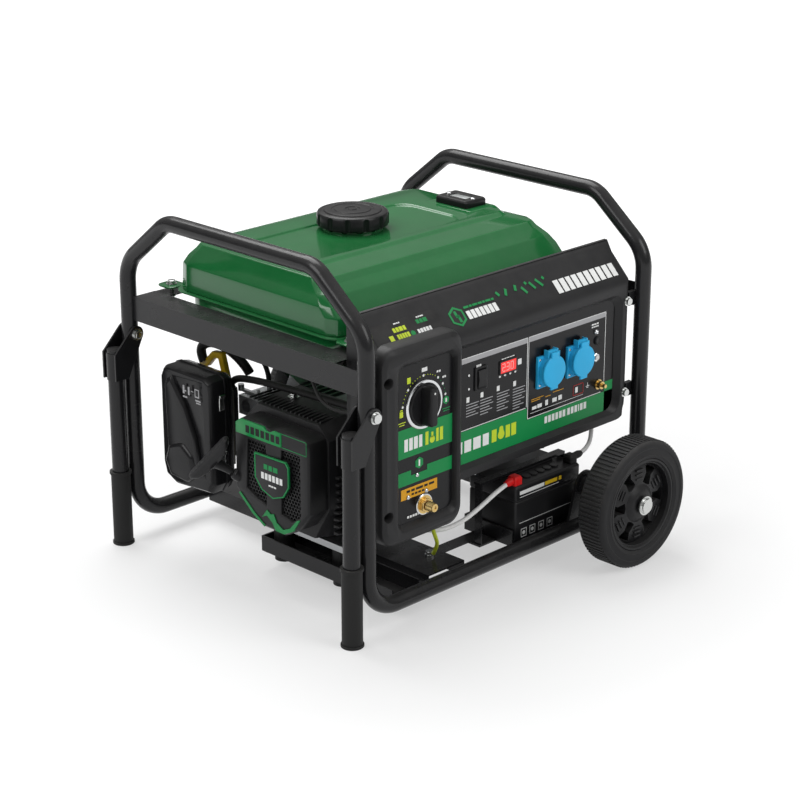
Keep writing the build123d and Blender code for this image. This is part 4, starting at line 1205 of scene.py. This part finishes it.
icons = [
    (-150, -146, 268, 281), (-138, -134, 268, 281), (-146, -142, 272, 274), (-122, -112, 268, 270),
    (-122, -112, 280, 281.5), (-122, -120.5, 270, 280), (-113.5, -112, 270, 280), (-131, -125, 275, 276),
    (-150, -140, 262, 264.5), (-121, -109, 262, 264.5), (-119, -109, 258.5, 260.5)
]
print_on("cleaner_marks", ink_grey, icons, 271.6, turn=facing_end, raised=0.35)
for index, (y, z) in enumerate(((88, 170), (88, 262), (202, 170), (202, 262))):
    side = -1 if y < 145 else 1
    clip = layered(
        "clip", 4, [(-5, 5, -12, 12, -2), (-5, 5, -12, 12, 0.8), (-4.4, 4.4, -11, 11, 1.6)], corner=1.5
    )
    hook = layered("hook", 4, [(-5.5, 5.5, 9, 14, 0), (-5.5, 5.5, 9, 14, 3), (-5, 5, 10, 13, 4)])
    clip = weld("clip", clip, hook)
    settle(clip, (-250, y + side * 1.5, z), upright if side < 0 else (radians(90), 0, radians(180)))
    soften(clip, 0.4, 2)
    place_on(clip, "frame", zinc, "zinc").name = f"cleaner_clip_{index}"


def smooth_run(name, points, radius, steps, sides):
    """A round hose or lead as a smooth curve through its run (mm)."""
    clear()
    bpy.ops.curve.primitive_nurbs_path_add(location=(0, 0, 0))
    run = bpy.context.object
    run.name = name
    run.data.splines.clear()
    spline = run.data.splines.new("NURBS")
    spline.points.add(len(points) - 1)
    for knot, point in zip(spline.points, points):
        knot.co = (point[0] / 1000, point[1] / 1000, point[2] / 1000, 1)
    spline.order_u = 3
    spline.use_endpoint_u = True
    spline.resolution_u = steps
    run.data.bevel_depth = radius / 1000
    run.data.bevel_resolution = sides
    run.data.use_fill_caps = True
    return run


def fixed_hose(name, points, radius):
    """A hose or harness clipped to the machine, made a mesh."""
    smooth_run(name, points, radius, 8, 8)
    bpy.ops.object.convert(target="MESH")
    place_on(bpy.context.object, "frame", hose_rubber, "rubber", angle=60)


# ---- Fuel lever, breather hose and harness by the carburettor ----
# A bent yellow tap lever, a black rubber breather hose, the wiring harness under the cross
# plate, and the silver carburettor castings.
hose_rubber = finish("hose_rubber", (0.012, 0.012, 0.012), 0.48, grain=900, depth=0.00006, dust=0.06)
cover(hose_rubber, "fuel_hose")
fixed_hose(
    "breather_hose",
    [
        (-205, 178, 296), (-205, 188, 312), (-203, 176, 326), (-200, 156, 330), (-190, 136, 322),
        (-176, 118, 300), (-170, 112, 284)
    ],
    7.5
)
tap_yellow = finish(
    "tap_yellow", (0.62, 0.40, 0.012), 0.34, grain=800, depth=0.00004, edge=0.0006, dust=0.06
)
lever = shaped(
    "tap_lever",
    [
        (-190, 298), (-177, 298), (-158, 317), (-136, 319), (-122, 272), (-132, 269), (-144, 308),
        (-154, 307), (-171, 289), (-189, 288)
    ],
    [(1.0, 196), (1.0, 206)]
)
soften(lever, 1.4, 3)
place_on(lever, "frame", tap_yellow, "brass")
fixed_hose(
    "harness_main",
    [
        (-198, 124, 268), (-200, 118, 282), (-200, 74, 291), (-200, 2, 296), (-202, -102, 302),
        (-206, -160, 306), (-212, -200, 312)
    ],
    5.5
)
fixed_hose(
    "harness_lead",
    [(-262, -128, 358), (-264, -140, 336), (-260, -160, 322), (-254, -186, 318), (-246, -203, 322)], 2.6
)
cast_alloy = finish(
    "cast_alloy", (0.42, 0.43, 0.44), 0.44, metal=0.9, grain=420, cell=1.4, depth=0.00012,
    worn=(0.62, 0.62, 0.62), edge=0.001, dust=0.12
)
cover(
    cast_alloy, "carburettor", "crankcase", "alternator_end_cover", "cylinder_block", "crankshaft_and_rotor"
)
# ---- Wheels ----
# Solid black rubber tyres with fine lateral tread ribs, on six-spoke moulded hubs with a
# zinc cap over each axle. The tyre is raised ring by ring, and its cross ribs are drawn outwards.
tyre_rubber = finish(
    "tyre_rubber", (0.011, 0.011, 0.012), 0.62, grain=500, cell=0.8, depth=0.0001, worn=(0.05, 0.05, 0.05),
    dust=0.10, shine=0.25
)
hub_moulding = finish("hub_moulding", (0.012, 0.012, 0.013), 0.40, grain=600, depth=0.00006, dust=0.06)
tread_ribs = 180
base_radius, tread_radius = 100.2, 101.9


def polar(radius, angle):
    return 192 + radius * cos(radians(angle)), 102 + radius * sin(radians(angle))


def on_tread(at, _):
    """Every second strip across the tread."""
    across, up = at.x - 192, at.z - 102
    if (across * across + up * up) ** 0.5 < base_radius - 1.0:
        return False
    from_middle = abs(at.y) - 353
    if abs(from_middle) > 19:
        return False
    step = int((in_degrees(atan2(up, across)) % 360) / (360 / tread_ribs))
    return step % 2 == 0


for name, side in (("front", 1), ("back", -1)):
    profile = [
        (74, 331), (78, 330), (88, 328.6), (94, 328.4), (97.5, 329.6), (base_radius - 0.8, 331.6), (base_radius, 334.5),
        (base_radius, 371.5), (base_radius - 0.8, 374.4),
        (97.5, 376.4), (94, 377.6), (90, 377.6), (89, 376.8), (80, 376.8), (79, 377.4), (74, 375),
    ]
    tyre = layered("tyre", tread_ribs, [(r, side * d) for r, d in profile], at=(192, 0, 102), turn=upright)
    cut(
        tyre,
        layered(
            "bore", tread_ribs, [(73.6, side * 300), (73.6, side * 400)], at=(192, 0, 102), turn=upright
        )
    )
    edit(tyre, "FACE", on_tread)
    bpy.ops.mesh.inset(thickness=0.0003, use_individual=False)
    grow = tread_radius / base_radius
    bpy.ops.transform.resize(value=(grow, 1, grow), center_override=(0.192, 0, 0.102))
    close()
    place_on(
        tyre, f"{name}_wheel", tyre_rubber, "tyre", f"{name}_wheel_tyre", angle=35
    ).name = f"{name}_tyre"

    rim = layered(
        "rim", 72,
        [(r, side * d) for r, d in ((73.4, 331), (73.4, 374), (72, 375.4), (69, 375.4), (67, 372))],
        at=(192, 0, 102), turn=upright
    )
    cut(rim, layered("bore", 72, [(65.5, side * 300), (65.5, side * 400)], at=(192, 0, 102), turn=upright))
    disc = layered(
        "disc", 72,
        [(r, side * d) for r, d in ((66.5, 346), (66.5, 360), (61, 363), (30, 367), (24, 372), (20, 374))],
        at=(192, 0, 102), turn=upright
    )
    for spoke in range(6):
        middle = spoke * 60
        window = [polar(61, middle + a) for a in (-13, -6, 0, 6, 13)] + [
            polar(48, middle + 8), polar(34, middle + 15), polar(31, middle), polar(34, middle - 15),
            polar(48, middle - 8)
        ]
        cut(disc, shaped("window", window, [(1.0, side * 330), (1.0, side * 390)], turn=upright))
    cut(disc, layered("bore", 40, [(8.4, side * 300), (8.4, side * 400)], at=(192, 0, 102), turn=upright))
    soften(disc, 0.7, 2, 35)
    parts = [disc, rim]
    for spoke in range(6):
        for radius in (40, 47, 54):
            rib = layered(
                "rib", 4, [
                    (radius - 1.4, radius + 1.4, -8, 8, side * 362),
                    (radius - 1.1, radius + 1.1, -7.4, 7.4, side * 367.2)
                ],
                at=(192, 0, 102), turn=(radians(90), radians(60 * spoke + 30), 0),
            )
            parts.append(rib)
    place_on(weld(f"{name}_hub", *parts), f"{name}_wheel", hub_moulding, "hub_plastic", f"{name}_wheel_hub")
    cap = layered(
        "axle_cap", 40,
        [(r, side * d) for r, d in ((13, 379.4), (13, 380.6), (11.8, 382.2), (8, 383.6), (3, 384.2))],
        at=(192, 0, 102), turn=upright
    )
    place_on(cap, f"{name}_wheel", zinc, "zinc").name = f"{name}_axle_cap"


# ---- Leg grips and rubber mounts ----
# Smooth black rubber sleeves with a flange ring at each end, and the round engine mounts.
grip_rubber = finish(
    "grip_rubber", (0.012, 0.012, 0.012), 0.58, grain=800, cell=0.9, depth=0.00009, dust=0.08, shine=0.25
)
cover(grip_rubber, "front_leg_grip", "back_leg_grip", "rubber_mounts")
inner_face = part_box("back_leg")[0][1] * 1000
hex_bolt("back_leg_nut", 7, 5, (-282, inner_face, 342), upright, zinc)
# ---- Battery and its tray ----
# A black polypropylene starter battery with a stepped lid, a vent ridge, a printed label,
# rubber terminal boots and a plated strap over the top.
battery_black = finish("battery_black", (0.010, 0.010, 0.011), 0.30, grain=500, depth=0.00005, dust=0.05)
case = layered("battery_case", 4, [
    (51.5, 199.5, -240.5, -145.5, 38), (50.2, 200.8, -241.6, -144.4, 42), (
        50.2, 200.8, -241.6, -144.4, 104
    ),
    (
        51.4, 199.6, -240.4, -145.6, 105.4
    ), (51.4, 199.6, -240.4, -145.6, 107.4), (50.2, 200.8, -241.6, -144.4, 108.6),
    (50.2, 200.8, -241.6, -144.4, 128), (53, 198, -239, -147, 131.8),
], corner=4)
soften(case, 0.8, 2, 20)
ridge = layered(
    "ridge", 4, [(74, 177, -206, -184, 131), (74, 177, -206, -184, 134.6), (76, 175, -204, -186, 135.8)],
    corner=3
)
soften(ridge, 0.6, 2)
plugs = [
    layered(
        "plug", 24, [(7.5, 131), (7.5, 133.6), (6.4, 134.6)], at=(x, -222, 0)
    ) for x in (96, 112, 128, 144, 160)
]
place_on(weld("battery_body", case, ridge, *plugs), "frame", battery_black, "battery_case", "battery")
label_yellow = finish("label_yellow", (0.70, 0.46, 0.02), 0.36, grain=1500, depth=0.00001, edge=0.0003)
print_on(
    "battery_label_white", ink_white, [(60, 116, 117, 123), (60, 150, 112.6, 113.6), (60, 190, 70, 71)],
    241.7, raised=0.2
)
print_on(
    "battery_label_yellow", label_yellow, [(118, 146, 117, 123), (150, 156, 117, 123)], 241.7, raised=0.2
)
icons = [
    (x, x + 13, 46, 47.2) for x in (64, 84, 104, 124)
] + [(x, x + 13, 58.8, 60) for x in (64, 84, 104, 124)]
icons += [(x, x + 1.2, 47.2, 58.8) for x in (64, 84, 104, 124)] + [
    (x + 11.8, x + 13, 47.2, 58.8) for x in (64, 84, 104, 124)
]
icons += [(x + 6.5, 53, 3.2) for x in (64, 84, 104, 124)]
print_on("battery_marks", ink_white, icons, 241.7, raised=0.2)
boot_red = finish("boot_red", (0.62, 0.010, 0.010), 0.42, grain=800, depth=0.00005, dust=0.05)
for name, x0, x1, colour in (("positive_boot", 53, 70, boot_red), ("negative_boot", 182, 198, grip_rubber)):
    boot = layered(
        name, 4,
        [(x0, x1, -238, -221, 131.9), (x0, x1, -238, -221, 142), (x0 + 2, x1 - 2, -236, -223, 145.8)],
        corner=2
    )
    soften(boot, 1.2, 3, 20)
    place_on(boot, "frame", colour, "rubber")
cover(powder_black, "battery_tray", "console_back_plate")
for index, x in enumerate((34, 190)):
    pan_screw(f"strap_rivet_{index}", 4, 2, (x, -171, 140), (0, 0, 0))


# ---- Battery and earth leads, fuel hose ----
# Round PVC leads on their own runs: white to the battery, yellow and green to earth, and a
# short black rubber fuel hose down from the tank.
sheath_white = finish("sheath_white", (0.72, 0.72, 0.71), 0.40, grain=1200, depth=0.00003, dust=0.08)
sheath_earth = finish("sheath_earth", (0.42, 0.50, 0.03), 0.40, grain=1200, depth=0.00003, dust=0.06)
positive_run = [
    (54, -229.5, 139), (24, -231, 134), (-20, -232, 117), (-62, -230, 103), (-102, -216, 98),
    (-127, -187, 108), (-130, -155, 138), (-130, -151, 176.8)
]
negative_run = [
    (198, -229.5, 139), (219, -230, 140), (235, -231, 152), (237, -232, 171), (237, -232, 189.8)
]
earth_run = [(-118, -229, 131.8), (-118, -229, 112), (-108, -227, 93), (-96, -219, 76), (-93, -207, 58)]
fuel_run = [
    (-180, 130, 372), (-180, 130, 334), (-146, 95, 302),
    (-146, 95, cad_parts["fuel_hose"].bound_box[0][2] * 1000)
]
for name, run, radius, material, slot, length in (
    ("positive_cable", positive_run, 3.5, sheath_white, "cable_white", 0.282),
    ("negative_cable", negative_run, 3.5, sheath_white, "cable_white", 0.077),
    ("earth_cable", earth_run, 3, sheath_earth, "earth_sheath", 0.085),
    ("fuel_hose", fuel_run, 4, hose_rubber, "rubber", 0.128),
):
    lead = smooth_run(name + "_lead", run, radius, 10, 5)
    lead.data.materials.append(material)
    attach(lead, "frame")
    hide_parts(name)
lug = layered("earth_lug", 36, [(8, 52), (8, 55.5), (6.5, 56), (6.5, 60), (5.5, 61)], at=(-93, -200, 0))
place_on(lug, "frame", zinc, "zinc")
collar = layered(
    "positive_collar", 28, [(6, 0), (6, 9), (4.2, 16)], at=(56, -229.5, 139), turn=(0, radians(-98), 0)
)
place_on(collar, "frame", boot_red, "rubber")
sleeve = layered(
    "negative_collar", 28, [(6, 0), (6, 14), (4.2, 20)], at=(196, -229.5, 139), turn=(0, radians(86), 0)
)
place_on(sleeve, "frame", grip_rubber, "rubber")
# ---- Engine and alternator castings ----
# Die-cast aluminium cases, an iron flywheel, and the painted starter motor and covers.
cast_iron = finish(
    "cast_iron", (0.10, 0.10, 0.10), 0.55, metal=0.7, grain=380, cell=1.5, depth=0.00014,
    worn=(0.35, 0.35, 0.36), dust=0.10
)
machined = finish(
    "machined_steel", (0.46, 0.47, 0.48), 0.28, metal=1.0, grain=700, depth=0.00002,
    worn=(0.62, 0.62, 0.63), dust=0.06
)
heat_black = finish(
    "heat_black", (0.035, 0.034, 0.033), 0.62, metal=0.3, grain=420, cell=1.2, depth=0.00012,
    worn=(0.22, 0.18, 0.14), dust=0.14
)
cover(cast_alloy, "stator_housing")
cover(cast_iron, "flywheel", "crankshaft_and_rotor")
cover(machined, "choke_lever")
cover(heat_black, "muffler", "starter_motor")
cover(powder_black, "rocker_cover")
cover(nylon_black, "recoil_pulley")
cover(gloss_moulding, "oil_dipstick", "spark_plug_and_cap")
filter_foam = finish(
    "filter_foam", (0.10, 0.095, 0.08), 0.85, grain=260, cell=1.5, depth=0.0004, dust=0.1, shine=0.2
)
cover(filter_foam, "air_filter_element")
for index in range(5):
    angle = radians(18 + 72 * index)
    spot = (224, -50 + 72 * cos(angle), 180 + 72 * sin(angle))
    hex_bolt(f"alternator_bolt_{index}", 5.2, 4, spot, (0, radians(90), 0), zinc)
bands = []
for x in (14, 110):
    band = layered("band", 96, [(91.2, x), (91.2, x + 7)], at=(0, -50, 180), turn=(0, radians(90), 0))
    cut(
        band,
        layered("bore", 96, [(89.4, x - 2), (89.4, x + 9)], at=(0, -50, 180), turn=(0, radians(90), 0))
    )
    soften(band, 0.5, 2)
    bands.append(band)
place_on(weld("stator_bands", *bands), "frame", cast_alloy, "cast_alloy")


# ---- Exhaust guard ----
# A pressed steel heat guard with louvre slots, bolted over the outer face of the muffler and
# painted in heat resistant black.
outwards = (radians(-90), 0, 0)
guard = layered(
    "exhaust_guard", 4,
    [(-16, 106, 196, 290, -182.4), (-14, 104, 198, 288, -187), (-10, 100, 202, 284, -189.5)], turn=upright,
    corner=10
)
soften(guard, 1.4, 3, 20)
for z in range(216, 274, 9):
    cut(guard, layered("slot", 4, [(4, 86, z, z + 4, -184), (4, 86, z, z + 4, -196)], turn=upright))
soften(guard, 0.4, 2, 40)
place_on(guard, "frame", heat_black, "muffler_steel")
for index, (x, z) in enumerate(((-5, 207), (95, 207), (-5, 279), (95, 279))):
    hex_bolt(f"guard_bolt_{index}", 4.2, 3.2, (x, 189.2, z), outwards, zinc)
